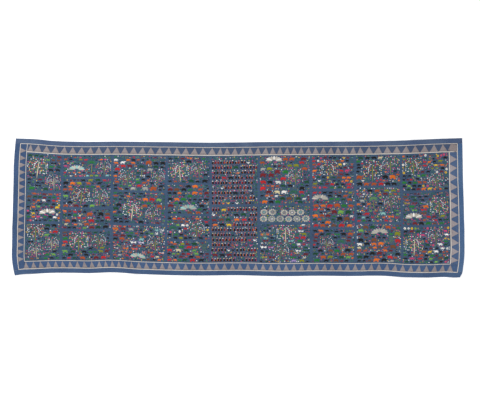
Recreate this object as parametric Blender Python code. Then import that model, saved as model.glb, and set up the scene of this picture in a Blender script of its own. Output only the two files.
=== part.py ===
"""Embroidered story cloth, laid flat: each piece that its maker cut and sewed on.

Metres, +Z up. +X runs along the cloth and +Y towards the top of its picture. The origin is under
the middle of the cloth, on the surface that it lies on.

Every piece starts as a flat shape on the cut rectangle, in (s, t): s along the cloth and t up it.
It is cut along the lines of one lattice that all pieces share, moved to the cloth's uneven outline,
lifted onto the soft folds and thickened upwards. Layers share the lattice, so they bend alike.
"""
import math

import bmesh
import bpy
import numpy as np

# Cut rectangle and the layers on it
CLOTH_LENGTH = 3.600
CLOTH_HEIGHT = 1.080
GROUND_THICKNESS = 0.0020
TRIM_THICKNESS = 0.0010
GAP = 0.0003
TRIM_BASE = GROUND_THICKNESS + GAP

# From each cut edge to the centre line of the outer off-white strip
LEFT_MARGIN = 0.0428
RIGHT_MARGIN = 0.0414
TOP_MARGIN = 0.0405
BOTTOM_MARGIN = 0.0404

# From the centre line of the outer strip to that of the inner strip
LEFT_BAND = 0.0545
RIGHT_BAND = 0.0658
TOP_BAND = 0.0635
BOTTOM_BAND = 0.0604

# Half the width of each off-white strip, as much of it as shows
OUTER_LEFT_HALF = 0.00225
OUTER_RIGHT_HALF = 0.00275
OUTER_TOP_HALF = 0.0020
OUTER_BOTTOM_HALF = 0.0025
INNER_LEFT_HALF = 0.0020
INNER_RIGHT_HALF = 0.00325
INNER_TOP_HALF = 0.00275
INNER_BOTTOM_HALF = 0.00225

# Rail that joins the teeth of a row, and the tips, which lean by turns to either side
RAIL_WIDTH = 0.0025
APEX_CLEARANCE = 0.0015
APEX_LEAN = 0.003
LEAN_STEP = 2.1

# Corners of neighbouring shapes closer than this are one corner
WELD = 1e-6

# Lattice of square cells on the cut rectangle, which the folds bend along, and the share of a cell
# within which a point counts as on a line
LATTICE_COLUMNS = 80
LATTICE_ROWS = 24
LATTICE = CLOTH_LENGTH / LATTICE_COLUMNS
SNAP = 0.0001

# Lines of the lattice at which the outline bends, closer together near the corners
OUTLINE_S = LATTICE * np.concatenate((np.arange(-40, -28, 2), np.arange(-28, 28, 4), np.arange(28, 41, 2)))
OUTLINE_T = LATTICE * np.array((-12, -11, -10, -8, -6, -3, 0, 3, 6, 8, 10, 11, 12))

# Lines that follow from the sizes above
LEFT = -CLOTH_LENGTH / 2
RIGHT = CLOTH_LENGTH / 2
BOTTOM = -CLOTH_HEIGHT / 2
TOP = CLOTH_HEIGHT / 2
OUTER_LEFT = LEFT + LEFT_MARGIN
OUTER_RIGHT = RIGHT - RIGHT_MARGIN
OUTER_BOTTOM = BOTTOM + BOTTOM_MARGIN
OUTER_TOP = TOP - TOP_MARGIN
INNER_LEFT = OUTER_LEFT + LEFT_BAND
INNER_RIGHT = OUTER_RIGHT - RIGHT_BAND
INNER_BOTTOM = OUTER_BOTTOM + BOTTOM_BAND
INNER_TOP = OUTER_TOP - TOP_BAND

# Uneven outline. Columns: place along the edge, how far the edge lies towards +Y or +X of the cut
TOP_EDGE = (
    (-1.80, 0.0170),
    (-1.66, 0.0115),
    (-1.50, -0.0030),
    (-1.26, -0.0105),
    (-1.00, -0.0090),
    (-0.62, -0.0125),
    (-0.15, -0.0170),
    (0.25, -0.0115),
    (0.50, -0.0100),
    (1.14, -0.0045),
    (1.30, -0.0005),
    (1.62, 0.0140),
    (1.80, 0.0195),
)
BOTTOM_EDGE = (
    (-1.80, 0.0000),
    (-1.74, 0.0090),
    (-1.64, 0.0135),
    (-1.50, 0.0205),
    (-1.35, 0.0210),
    (-1.20, 0.0185),
    (-1.02, 0.0245),
    (-0.78, 0.0110),
    (-0.30, -0.0010),
    (-0.02, 0.0015),
    (0.35, -0.0060),
    (0.65, -0.0030),
    (0.95, -0.0050),
    (1.14, -0.0020),
    (1.38, -0.0155),
    (1.55, -0.0175),
    (1.68, -0.0130),
    (1.76, -0.0170),
    (1.80, -0.0150),
)
LEFT_EDGE = (
    (-0.54, 0.0120),
    (-0.49, 0.0000),
    (-0.40, -0.0115),
    (-0.30, -0.0105),
    (-0.17, -0.0080),
    (0.05, -0.0025),
    (0.28, 0.0030),
    (0.40, 0.0076),
    (0.54, 0.0200),
)
RIGHT_EDGE = (
    (-0.54, -0.0290),
    (-0.51, -0.0110),
    (-0.46, -0.0005),
    (-0.33, 0.0100),
    (-0.17, 0.0080),
    (0.02, 0.0045),
    (0.20, -0.0015),
    (0.40, -0.0050),
    (0.54, -0.0080),
)

# Soft folds that rise off the surface and end in it.
# Columns: middle s, middle t, direction in degrees, half length, half width, height
FOLDS = (
    (-1.67, -0.49, 28, 0.17, 0.075, 0.010),
    (-1.79, 0.31, 5, 0.12, 0.080, 0.006),
    (-1.78, -0.17, 10, 0.13, 0.080, 0.007),
    (-1.60, 0.53, 100, 0.12, 0.080, 0.008),
    (-0.11, 0.54, 88, 0.12, 0.075, 0.006),
    (1.42, 0.53, 80, 0.13, 0.090, 0.009),
    (-0.83, -0.53, 82, 0.12, 0.080, 0.008),
    (1.12, -0.56, 97, 0.10, 0.075, 0.007),
    (1.33, -0.54, 76, 0.13, 0.085, 0.009),
    (1.80, -0.17, 8, 0.11, 0.080, 0.007),
    (1.79, -0.37, -4, 0.13, 0.080, 0.006),
    (1.83, -0.58, 135, 0.16, 0.130, 0.014),
    (-0.27, 0.00, 90, 0.45, 0.075, 0.003),
    (0.19, 0.02, 91, 0.42, 0.075, 0.003),
)

# Rows of teeth: where each starts, the share of the pitch that a tooth's foot takes, and its runs.
# Columns of the runs: number of teeth, pitch
TOP_TEETH = (-1.7004, 0.89, (
    (1, 0.0514),
    (20, 0.0699),
    (1, 0.0740),
    (1, 0.0540),
    (6, 0.0617),
    (5, 0.0567),
    (8, 0.0599),
    (9, 0.0747),
))
BOTTOM_TEETH = (-1.7226, 0.75, (
    (4, 0.0590),
    (7, 0.0579),
    (5, 0.0513),
    (14, 0.0624),
    (14, 0.0613),
    (13, 0.0633),
))
LEFT_TEETH = (-0.4488, 0.72, (
    (16, 0.0576),
))
RIGHT_TEETH = (-0.4361, 0.86, (
    (1, 0.0588),
    (11, 0.0720),
))

# The cut end of the top row, a slanted block in the corner. Columns: from, to, start of its top side
TOP_END_BLOCK = (1.6822, 1.7553, 1.7080)

# Colour of each kind of cloth, linear, and its roughness
FIELD_BLUE = ((0.058, 0.094, 0.162), 0.90)
BAND_BLUE = ((0.063, 0.105, 0.190), 0.90)
BORDER_BLUE = ((0.075, 0.125, 0.235), 0.88)
TOOTH_MAUVE = ((0.300, 0.262, 0.272), 0.92)
STRIP_WHITE = ((0.720, 0.660, 0.560), 0.90)


def clear_scene():
    """Remove every object that the file holds."""
    for thing in list(bpy.data.objects):
        bpy.data.objects.remove(thing, do_unlink=True)


def smooth_rows(table, places):
    """Values of a two-column table at the places, on a smooth curve through its rows."""
    rows = np.array(table)
    slopes = np.gradient(rows[:, 1], rows[:, 0])
    places = np.clip(places, rows[0, 0], rows[-1, 0])
    row = np.clip(np.searchsorted(rows[:, 0], places, side="right") - 1, 0, len(rows) - 2)
    width = rows[row + 1, 0] - rows[row, 0]
    u = (places - rows[row, 0]) / width
    from_start = rows[row, 1] * (1 + 2 * u) * (1 - u) ** 2 + slopes[row] * width * u * (1 - u) ** 2
    from_end = rows[row + 1, 1] * (3 - 2 * u) * u ** 2 - slopes[row + 1] * width * u ** 2 * (1 - u)
    return from_start + from_end


def fold_height(s, t):
    """Height of the folds: each is a cosine-squared ridge that is zero outside its lengths."""
    height = 0.0
    for middle_s, middle_t, degrees, half_length, half_width, rise in FOLDS:
        turn = math.radians(degrees)
        along = (s - middle_s) * math.cos(turn) + (t - middle_t) * math.sin(turn)
        across = (t - middle_t) * math.cos(turn) - (s - middle_s) * math.sin(turn)
        if abs(along) < half_length and abs(across) < half_width:
            fade = math.cos(math.pi / 2 * along / half_length) ** 2
            height += rise * fade * math.cos(math.pi / 2 * across / half_width) ** 2
    return height


def fold_nodes():
    """Heights of the folds at the lattice's nodes."""
    columns = np.linspace(LEFT, RIGHT, LATTICE_COLUMNS + 1)
    rows = np.linspace(BOTTOM, TOP, LATTICE_ROWS + 1)
    return np.array([[fold_height(s, t) for t in rows] for s in columns])


# Heights of the folds on the lattice
FOLDED = fold_nodes()


def lifted(s, t):
    """Height at (s, t), flat on the two triangles of each lattice cell."""
    column = min(max(math.floor((s - LEFT) / LATTICE), 0), LATTICE_COLUMNS - 1)
    row = min(max(math.floor((t - BOTTOM) / LATTICE), 0), LATTICE_ROWS - 1)
    a = (s - LEFT) / LATTICE - column
    b = (t - BOTTOM) / LATTICE - row
    low = FOLDED[column, row]
    high = FOLDED[column + 1, row + 1]
    if a >= b:
        side = FOLDED[column + 1, row]
        return low + (side - low) * a + (high - side) * b
    side = FOLDED[column, row + 1]
    return low + (side - low) * b + (high - side) * a


def laid(s, t):
    """Laid place, seen from above: the four edges' offsets, straight between the outline's lines."""
    u = (s - LEFT) / CLOTH_LENGTH
    v = (t - BOTTOM) / CLOTH_HEIGHT
    left = np.interp(t, OUTLINE_T, smooth_rows(LEFT_EDGE, OUTLINE_T))
    right = np.interp(t, OUTLINE_T, smooth_rows(RIGHT_EDGE, OUTLINE_T))
    bottom = np.interp(s, OUTLINE_S, smooth_rows(BOTTOM_EDGE, OUTLINE_S))
    top = np.interp(s, OUTLINE_S, smooth_rows(TOP_EDGE, OUTLINE_S))
    return s + (1 - u) * left + u * right, t + (1 - v) * bottom + v * top


def middle_of_outline():
    """Middle of the box around the laid outline."""
    edge = [laid(s, t) for s in OUTLINE_S for t in (BOTTOM, TOP)]
    edge += [laid(s, t) for s in (LEFT, RIGHT) for t in OUTLINE_T]
    return (np.min(edge, axis=0) + np.max(edge, axis=0)) / 2


# What the laid cloth is moved by, so that its box is centred on the origin
MIDDLE = middle_of_outline()


def meets_fold(face):
    """Whether a flat face reaches into a lattice cell that is lifted."""
    across = [vert.co.x for vert in face.verts]
    up = [vert.co.y for vert in face.verts]
    columns = slice(math.floor((min(across) - LEFT) / LATTICE + SNAP),
                    math.ceil((max(across) - LEFT) / LATTICE - SNAP) + 1)
    rows = slice(math.floor((min(up) - BOTTOM) / LATTICE + SNAP),
                 math.ceil((max(up) - BOTTOM) / LATTICE - SNAP) + 1)
    return FOLDED[columns, rows].any()


def cut_along(bm, point, normal, faces):
    """Cut the faces of a flat shape along one line."""
    parts = list(faces)
    parts += list({edge for face in faces for edge in face.edges})
    parts += list({vert for face in faces for vert in face.verts})
    bmesh.ops.bisect_plane(bm, geom=parts, plane_co=point, plane_no=normal, dist=SNAP * LATTICE)


def cut_by_lattice(bm):
    """Cut a flat shape along the outline's lines, and its lifted parts along the lattice's."""
    low_s, high_s = (pick(vert.co.x for vert in bm.verts) for pick in (min, max))
    low_t, high_t = (pick(vert.co.y for vert in bm.verts) for pick in (min, max))
    for s in OUTLINE_S:
        if low_s < s < high_s:
            cut_along(bm, (s, 0, 0), (1, 0, 0), bm.faces[:])
    for t in OUTLINE_T:
        if low_t < t < high_t:
            cut_along(bm, (0, t, 0), (0, 1, 0), bm.faces[:])
    lines = []
    for number in range(math.ceil(low_s / LATTICE), math.floor(high_s / LATTICE) + 1):
        lines.append(((number * LATTICE, 0, 0), (1, 0, 0)))
    for number in range(math.ceil(low_t / LATTICE), math.floor(high_t / LATTICE) + 1):
        lines.append(((0, number * LATTICE, 0), (0, 1, 0)))
    first = math.ceil((low_s - high_t) / LATTICE)
    last = math.floor((high_s - low_t) / LATTICE)
    for number in range(first, last + 1):
        lines.append(((number * LATTICE, 0, 0), (1, -1, 0)))
    for point, normal in lines:
        folded = [face for face in bm.faces if meets_fold(face)]
        if folded:
            cut_along(bm, point, normal, folded)


def cloth_material(name, look):
    """Plain matt cloth of one colour."""
    colour, roughness = look
    material = bpy.data.materials.new(name + "_cloth")
    material.use_nodes = True
    shader = material.node_tree.nodes["Principled BSDF"]
    shader.inputs["Base Color"].default_value = (*colour, 1.0)
    shader.inputs["Roughness"].default_value = roughness
    shader.inputs["Metallic"].default_value = 0.0
    material.diffuse_color = (*colour, 1.0)
    return material


def cloth_piece(name, shapes, base, thickness, look):
    """One piece: flat convex shapes that touch, cut, laid, lifted and thickened upwards."""
    bm = bmesh.new()
    for shape in shapes:
        bm.faces.new([bm.verts.new((s, t, 0.0)) for s, t in shape])
    bmesh.ops.remove_doubles(bm, verts=bm.verts[:], dist=WELD)
    cut_by_lattice(bm)
    bmesh.ops.triangulate(bm, faces=bm.faces[:])
    for vert in bm.verts:
        s, t, _ = vert.co
        x, y = laid(s, t)
        vert.co = (x - MIDDLE[0], y - MIDDLE[1], base + lifted(s, t))
    raised = bmesh.ops.extrude_face_region(bm, geom=bm.faces[:], use_keep_orig=True)
    upper = [part for part in raised["geom"] if isinstance(part, bmesh.types.BMVert)]
    bmesh.ops.translate(bm, verts=upper, vec=(0, 0, thickness))
    bmesh.ops.recalc_face_normals(bm, faces=bm.faces[:])
    mesh = bpy.data.meshes.new(name)
    bm.to_mesh(mesh)
    bm.free()
    mesh.materials.append(cloth_material(name, look))
    piece = bpy.data.objects.new(name, mesh)
    bpy.context.scene.collection.objects.link(piece)
    return piece


def rectangle(left, bottom, right, top):
    """Rectangle that stays half a gap inside the lines it is given."""
    inset = GAP / 2
    near = (left + inset, bottom + inset)
    far = (right - inset, top - inset)
    return [near, (far[0], near[1]), far, (near[0], far[1])]


def tooth_shapes(row, base, apex):
    """Rail and teeth of one row, with the row along the first coordinate and apexes across it."""
    start, share, runs = row
    foot = base + GAP
    shoulder = foot + RAIL_WIDTH
    tip = apex - APEX_CLEARANCE
    cuts = [start]
    shapes = []
    for count, pitch in runs:
        for _ in range(count):
            middle = start + pitch / 2
            near = middle - share * pitch / 2
            far = middle + share * pitch / 2
            lean = APEX_LEAN * math.sin(LEAN_STEP * len(shapes))
            shapes.append([(near, shoulder), (far, shoulder), (middle + lean, tip)])
            cuts += [near, far]
            start += pitch
    cuts.append(start)
    for near, far in zip(cuts[:-1], cuts[1:]):
        shapes.append([(near, foot), (far, foot), (far, shoulder), (near, shoulder)])
    return shapes


def block_shapes(base, apex):
    """Rail and slanted block that end the top row."""
    foot = base + GAP
    shoulder = foot + RAIL_WIDTH
    tip = apex - APEX_CLEARANCE
    near, far, top_near = TOP_END_BLOCK
    return [
        [(near, foot), (far, foot), (far, shoulder), (near, shoulder)],
        [(near, shoulder), (far, shoulder), (far, tip), (top_near, tip)],
    ]


def upright(shapes):
    """The same shapes with the row along t and its teeth towards +s, turned face up again."""
    return [[(s, t) for t, s in reversed(shape)] for shape in shapes]


def build_ground():
    """Field, bands and outer border, which lie side by side on the surface."""
    panels = (
        ("ground_field", INNER_LEFT, INNER_BOTTOM, INNER_RIGHT, INNER_TOP, FIELD_BLUE),
        ("band_left", OUTER_LEFT, OUTER_BOTTOM, INNER_LEFT, OUTER_TOP, BAND_BLUE),
        ("band_bottom", INNER_LEFT, OUTER_BOTTOM, OUTER_RIGHT, INNER_BOTTOM, BAND_BLUE),
        ("band_right", INNER_RIGHT, INNER_BOTTOM, OUTER_RIGHT, INNER_TOP, BAND_BLUE),
        ("band_top", INNER_LEFT, INNER_TOP, OUTER_RIGHT, OUTER_TOP, BAND_BLUE),
        ("border_top", LEFT, OUTER_TOP, RIGHT, TOP, BORDER_BLUE),
        ("border_bottom", LEFT, BOTTOM, RIGHT, OUTER_BOTTOM, BORDER_BLUE),
        ("border_left", LEFT, OUTER_BOTTOM, OUTER_LEFT, OUTER_TOP, BORDER_BLUE),
        ("border_right", OUTER_RIGHT, OUTER_BOTTOM, RIGHT, OUTER_TOP, BORDER_BLUE),
    )
    for name, left, bottom, right, top, look in panels:
        shape = rectangle(left, bottom, right, top)
        cloth_piece(name, [shape], 0.0, GROUND_THICKNESS, look)


def build_strips():
    """Narrow off-white strips, laid over the seams between the ground pieces."""
    strips = (
        ("outer_strip_top", OUTER_LEFT - OUTER_LEFT_HALF, OUTER_TOP - OUTER_TOP_HALF,
         OUTER_RIGHT + OUTER_RIGHT_HALF, OUTER_TOP + OUTER_TOP_HALF),
        ("outer_strip_bottom", OUTER_LEFT - OUTER_LEFT_HALF, OUTER_BOTTOM - OUTER_BOTTOM_HALF,
         OUTER_RIGHT + OUTER_RIGHT_HALF, OUTER_BOTTOM + OUTER_BOTTOM_HALF),
        ("outer_strip_left", OUTER_LEFT - OUTER_LEFT_HALF, OUTER_BOTTOM + OUTER_BOTTOM_HALF,
         OUTER_LEFT + OUTER_LEFT_HALF, OUTER_TOP - OUTER_TOP_HALF),
        ("outer_strip_right", OUTER_RIGHT - OUTER_RIGHT_HALF, OUTER_BOTTOM + OUTER_BOTTOM_HALF,
         OUTER_RIGHT + OUTER_RIGHT_HALF, OUTER_TOP - OUTER_TOP_HALF),
        ("inner_strip_left", INNER_LEFT - INNER_LEFT_HALF, INNER_BOTTOM - INNER_BOTTOM_HALF,
         INNER_LEFT + INNER_LEFT_HALF, OUTER_TOP - OUTER_TOP_HALF),
        ("inner_strip_top", INNER_LEFT + INNER_LEFT_HALF, INNER_TOP - INNER_TOP_HALF,
         OUTER_RIGHT - OUTER_RIGHT_HALF, INNER_TOP + INNER_TOP_HALF),
        ("inner_strip_right", INNER_RIGHT - INNER_RIGHT_HALF, INNER_BOTTOM - INNER_BOTTOM_HALF,
         INNER_RIGHT + INNER_RIGHT_HALF, INNER_TOP - INNER_TOP_HALF),
        ("inner_strip_bottom", INNER_LEFT + INNER_LEFT_HALF, INNER_BOTTOM - INNER_BOTTOM_HALF,
         INNER_RIGHT - INNER_RIGHT_HALF, INNER_BOTTOM + INNER_BOTTOM_HALF),
    )
    for name, left, bottom, right, top in strips:
        shape = rectangle(left, bottom, right, top)
        cloth_piece(name, [shape], TRIM_BASE, TRIM_THICKNESS, STRIP_WHITE)


def build_sawteeth():
    """Applique rows of teeth: upwards in the top and bottom bands, to the right in the others."""
    top = tooth_shapes(TOP_TEETH, INNER_TOP + INNER_TOP_HALF, OUTER_TOP - OUTER_TOP_HALF)
    top += block_shapes(INNER_TOP + INNER_TOP_HALF, OUTER_TOP - OUTER_TOP_HALF)
    bottom = tooth_shapes(BOTTOM_TEETH, OUTER_BOTTOM + OUTER_BOTTOM_HALF, INNER_BOTTOM - INNER_BOTTOM_HALF)
    left = tooth_shapes(LEFT_TEETH, OUTER_LEFT + OUTER_LEFT_HALF, INNER_LEFT - INNER_LEFT_HALF)
    right = tooth_shapes(RIGHT_TEETH, INNER_RIGHT + INNER_RIGHT_HALF, OUTER_RIGHT - OUTER_RIGHT_HALF)
    rows = (
        ("sawtooth_top", top),
        ("sawtooth_bottom", bottom),
        ("sawtooth_left", upright(left)),
        ("sawtooth_right", upright(right)),
    )
    for name, shapes in rows:
        cloth_piece(name, shapes, TRIM_BASE, TRIM_THICKNESS, TOOTH_MAUVE)


def build_cloth():
    """The whole cloth, piece by piece."""
    clear_scene()
    build_ground()
    build_strips()
    build_sawteeth()


build_cloth()
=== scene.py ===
"""Dress an embroidered story cloth that lies flat: cotton, applique, strips, hem and embroidery.

Metres, +Z up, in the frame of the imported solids. Every shape starts on the cut rectangle as (s, t),
s along the cloth and t up it, and one Lay moves it to the cloth's uneven outline and soft folds.
"""
import logging
import math
from dataclasses import astuple, dataclass, field, replace
from enum import Enum, IntEnum
from functools import cached_property

import bpy
import numpy as np
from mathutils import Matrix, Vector


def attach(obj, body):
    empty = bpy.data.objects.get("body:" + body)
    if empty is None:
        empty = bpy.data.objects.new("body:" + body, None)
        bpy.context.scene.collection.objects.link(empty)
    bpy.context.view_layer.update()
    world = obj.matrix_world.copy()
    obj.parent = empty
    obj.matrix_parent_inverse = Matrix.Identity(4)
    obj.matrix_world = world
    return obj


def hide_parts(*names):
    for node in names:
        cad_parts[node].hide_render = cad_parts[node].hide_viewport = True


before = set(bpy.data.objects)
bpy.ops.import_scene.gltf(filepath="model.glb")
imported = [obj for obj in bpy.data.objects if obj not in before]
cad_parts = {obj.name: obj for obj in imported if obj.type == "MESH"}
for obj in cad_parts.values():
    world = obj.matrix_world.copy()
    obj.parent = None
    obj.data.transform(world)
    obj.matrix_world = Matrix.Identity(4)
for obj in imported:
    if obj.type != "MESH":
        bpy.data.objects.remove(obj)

LOG = logging.getLogger("story_cloth")
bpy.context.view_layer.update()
MM = 0.001
GAP = 0.0003
SEED = 20
# Keeps a direction of no length from being divided by zero
TINY = 1e-9
# A wave texture of scale 1 repeats after this distance
WAVE_PITCH = 0.314
# Share of its cell in the export's map that a bar leaves free at each side
CELL_MARGIN = 0.06


@dataclass(frozen=True)
class EdgeOffset:
    """How far one laid edge lies off the cut edge: a smooth curve through rows of (place, offset)."""

    rows: tuple[tuple[float, float], ...]

    def at(self, places: np.ndarray) -> np.ndarray:
        """Offsets at places along the edge, as cubic pieces that share their slopes at the rows.

        Args:
            places: distances along the edge, in metres.

        Returns:
            Offsets in metres, the same shape as places.
        """
        table = np.array(self.rows)
        slopes = np.gradient(table[:, 1], table[:, 0])
        places = np.clip(places, table[0, 0], table[-1, 0])
        row = np.clip(np.searchsorted(table[:, 0], places, side="right") - 1, 0, len(table) - 2)
        width = table[row + 1, 0] - table[row, 0]
        u = (places - table[row, 0]) / width
        start = table[row, 1] * (1 + 2 * u) * (1 - u) ** 2 + slopes[row] * width * u * (1 - u) ** 2
        end = table[row + 1, 1] * (3 - 2 * u) * u**2 - slopes[row + 1] * width * u**2 * (1 - u)
        return start + end


@dataclass(frozen=True)
class Fold:
    """One soft ridge: its middle on the cut, direction, half length, half width and height."""

    s: float
    t: float
    degrees: float
    half_length: float
    half_width: float
    rise: float

    def height(self, s: np.ndarray, t: np.ndarray) -> np.ndarray:
        """Height over the surface: squared cosines along and across, and zero outside them.

        Args:
            s: places along the cloth.
            t: places up the cloth.

        Returns:
            Heights in metres.
        """
        turn = math.radians(self.degrees)
        along = (s - self.s) * math.cos(turn) + (t - self.t) * math.sin(turn)
        across = (t - self.t) * math.cos(turn) - (s - self.s) * math.sin(turn)
        fade = np.cos(math.pi / 2 * np.clip(along / self.half_length, -1, 1)) ** 2
        return self.rise * fade * np.cos(math.pi / 2 * np.clip(across / self.half_width, -1, 1)) ** 2


@dataclass(frozen=True)
class Lay:
    """Where the cloth lies: its cut size, uneven outline, soft folds and fine cockles."""

    length: float = 3.600
    height: float = 1.080
    top: EdgeOffset = EdgeOffset((
        (-1.80, 0.0170), (-1.66, 0.0115), (-1.50, -0.0030), (-1.26, -0.0105), (-1.00, -0.0090),
        (-0.62, -0.0125), (-0.15, -0.0170), (0.25, -0.0115), (0.50, -0.0100), (1.14, -0.0045),
        (1.30, -0.0005), (1.62, 0.0140), (1.80, 0.0195)))
    bottom: EdgeOffset = EdgeOffset((
        (-1.80, 0.0000), (-1.74, 0.0090), (-1.64, 0.0135), (-1.50, 0.0205), (-1.35, 0.0210),
        (-1.20, 0.0185), (-1.02, 0.0245), (-0.78, 0.0110), (-0.30, -0.0010), (-0.02, 0.0015),
        (0.35, -0.0060), (0.65, -0.0030), (0.95, -0.0050), (1.14, -0.0020), (1.38, -0.0155),
        (1.55, -0.0175), (1.68, -0.0130), (1.76, -0.0170), (1.80, -0.0150)))
    left: EdgeOffset = EdgeOffset((
        (-0.54, 0.0120), (-0.49, 0.0000), (-0.40, -0.0115), (-0.30, -0.0105), (-0.17, -0.0080),
        (0.05, -0.0025), (0.28, 0.0030), (0.40, 0.0076), (0.54, 0.0200)))
    right: EdgeOffset = EdgeOffset((
        (-0.54, -0.0290), (-0.51, -0.0110), (-0.46, -0.0005), (-0.33, 0.0100), (-0.17, 0.0080),
        (0.02, 0.0045), (0.20, -0.0015), (0.40, -0.0050), (0.54, -0.0080)))
    folds: tuple[Fold, ...] = (
        Fold(-1.67, -0.49, 28, 0.17, 0.075, 0.010),
        Fold(-1.79, 0.31, 5, 0.12, 0.080, 0.006),
        Fold(-1.78, -0.17, 10, 0.13, 0.080, 0.007),
        Fold(-1.60, 0.53, 100, 0.12, 0.080, 0.008),
        Fold(-0.11, 0.54, 88, 0.12, 0.075, 0.006),
        Fold(1.42, 0.53, 80, 0.13, 0.090, 0.009),
        Fold(-0.83, -0.53, 82, 0.12, 0.080, 0.008),
        Fold(1.12, -0.56, 97, 0.10, 0.075, 0.007),
        Fold(1.33, -0.54, 76, 0.13, 0.085, 0.009),
        Fold(1.80, -0.17, 8, 0.11, 0.080, 0.007),
        Fold(1.79, -0.37, -4, 0.13, 0.080, 0.006),
        Fold(1.83, -0.58, 135, 0.16, 0.130, 0.014),
        Fold(-0.27, 0.00, 90, 0.45, 0.075, 0.003),
        Fold(0.19, 0.02, 91, 0.42, 0.075, 0.003),
    )
    cockle_rise: float = 0.0007
    cockle_waves: tuple[float, float] = (0.094, 0.071)
    hem_wave: float = 0.083
    hem_wave_rise: float = 0.0014
    hem_reach: float = 0.060

    def plan(self, s: np.ndarray, t: np.ndarray) -> tuple[np.ndarray, np.ndarray]:
        """Place seen from above: the offsets of opposite edges, shared by the distance to each.

        Args:
            s: places along the cut.
            t: places up the cut.

        Returns:
            x and y about the cut's middle.
        """
        u = s / self.length + 0.5
        v = t / self.height + 0.5
        x = s + (1 - u) * self.left.at(t) + u * self.right.at(t)
        y = t + (1 - v) * self.bottom.at(s) + v * self.top.at(s)
        return x, y

    @cached_property
    def middle(self) -> np.ndarray:
        """Middle of the box around the laid outline."""
        along = np.linspace(-0.5, 0.5, 161)
        ends = [(along * self.length, np.full(161, t)) for t in (-self.height / 2, self.height / 2)]
        ends += [(np.full(161, s), along * self.height) for s in (-self.length / 2, self.length / 2)]
        edge = np.concatenate([np.stack(self.plan(s, t), axis=1) for s, t in ends])
        return (edge.min(axis=0) + edge.max(axis=0)) / 2

    def inside(self, s: np.ndarray, t: np.ndarray) -> np.ndarray:
        """Distance from the nearest cut edge."""
        return np.minimum(self.length / 2 - np.abs(s), self.height / 2 - np.abs(t))

    def lift(self, s: np.ndarray, t: np.ndarray) -> np.ndarray:
        """Height over the surface: the folds, fine cockles all over and waves along the free hem.

        Args:
            s: places along the cut.
            t: places up the cut.

        Returns:
            Heights in metres, never below zero.
        """
        height = sum(fold.height(s, t) for fold in self.folds)
        first, second = (2 * math.pi / wave for wave in self.cockle_waves)
        bent = np.sin(second * t + 1.3 * np.sin(first * s / 3))
        cockle = np.sin(first * s + 2.0 * np.sin(second * t)) * bent
        near = np.clip(1 - self.inside(s, t) / self.hem_reach, 0, 1) ** 2
        turn = 2 * math.pi / self.hem_wave
        wave = 0.5 + 0.5 * np.sin(turn * (s + t) + 1.7 * np.sin(turn * (s - t) / 2.7))
        return height + self.cockle_rise * (0.5 + 0.5 * cockle) + self.hem_wave_rise * near * wave

    def points(self, s: np.ndarray, t: np.ndarray, z: np.ndarray) -> np.ndarray:
        """Points of the laid cloth at a height z over its back.

        Args:
            s: places along the cut.
            t: places up the cut.
            z: heights over the back of the cloth.

        Returns:
            An array with x, y and z last.
        """
        x, y = self.plan(s, t)
        return np.stack((x - self.middle[0], y - self.middle[1], z + self.lift(s, t)), axis=-1)


@dataclass(frozen=True)
class Sides:
    """One size at each side of the cloth, in metres."""

    left: float
    bottom: float
    right: float
    top: float


@dataclass(frozen=True)
class Rectangle:
    """A stretch of the cut rectangle, in metres."""

    left: float
    bottom: float
    right: float
    top: float

    @property
    def width(self) -> float:
        """Size along the cloth."""
        return self.right - self.left

    @property
    def height(self) -> float:
        """Size up the cloth."""
        return self.top - self.bottom

    def inset(self, by: float) -> "Rectangle":
        """The same stretch with each side moved inwards."""
        return self.within(Sides(by, by, by, by))

    def within(self, by: Sides) -> "Rectangle":
        """The same stretch with each side moved inwards by its own size."""
        return Rectangle(
            self.left + by.left, self.bottom + by.bottom, self.right - by.right, self.top - by.top)

    def holds(self, s: np.ndarray, t: np.ndarray) -> bool:
        """Whether all the places lie in it."""
        inside = self.left <= s.min() and s.max() <= self.right
        return bool(inside and self.bottom <= t.min() and t.max() <= self.top)


@dataclass(frozen=True)
class BorderPlan:
    """The border's lines on the cut rectangle, worked out from margins and band widths."""

    lay: Lay
    margins: Sides = Sides(0.0428, 0.0404, 0.0414, 0.0405)
    bands: Sides = Sides(0.0545, 0.0604, 0.0658, 0.0635)
    outer_halves: Sides = Sides(0.00225, 0.0025, 0.00275, 0.0020)
    inner_halves: Sides = Sides(0.0020, 0.00225, 0.00325, 0.00275)

    @property
    def cut(self) -> Rectangle:
        """The whole cut rectangle."""
        half_length, half_height = self.lay.length / 2, self.lay.height / 2
        return Rectangle(-half_length, -half_height, half_length, half_height)

    @property
    def outer(self) -> Rectangle:
        """Centre lines of the outer off-white strips."""
        return self.cut.within(self.margins)

    @property
    def inner(self) -> Rectangle:
        """Centre lines of the inner off-white strips."""
        return self.outer.within(self.bands)


def linear(hex_colour: str) -> tuple[float, float, float, float]:
    """One sRGB hex colour as linear red, green, blue and a full alpha."""
    parts = [int(hex_colour[i:i + 2], 16) / 255 for i in (1, 3, 5)]
    bent = [p / 12.92 if p <= 0.04045 else ((p + 0.055) / 1.055) ** 2.4 for p in parts]
    return (*bent, 1.0)


def add_node(tree: bpy.types.NodeTree, kind: str, inputs: dict | None = None,
             **settings: object) -> bpy.types.Node:
    """Add one node with its settings, values and links.

    Args:
        tree: the material's node tree.
        kind: the node's type name.
        inputs: socket name or number to a value, or to the output socket that feeds it.
        settings: the node's own properties.

    Returns:
        The new node.
    """
    made = tree.nodes.new(kind)
    for name, value in settings.items():
        setattr(made, name, value)
    for socket, value in (inputs or {}).items():
        if isinstance(value, bpy.types.NodeSocket):
            tree.links.new(value, made.inputs[socket])
        else:
            made.inputs[socket].default_value = value
    return made


def blank_material(name: str) -> bpy.types.Material:
    """A new material with an empty node tree."""
    material = bpy.data.materials.new(name)
    material.use_nodes = True
    material.node_tree.nodes.clear()
    return material


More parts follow.
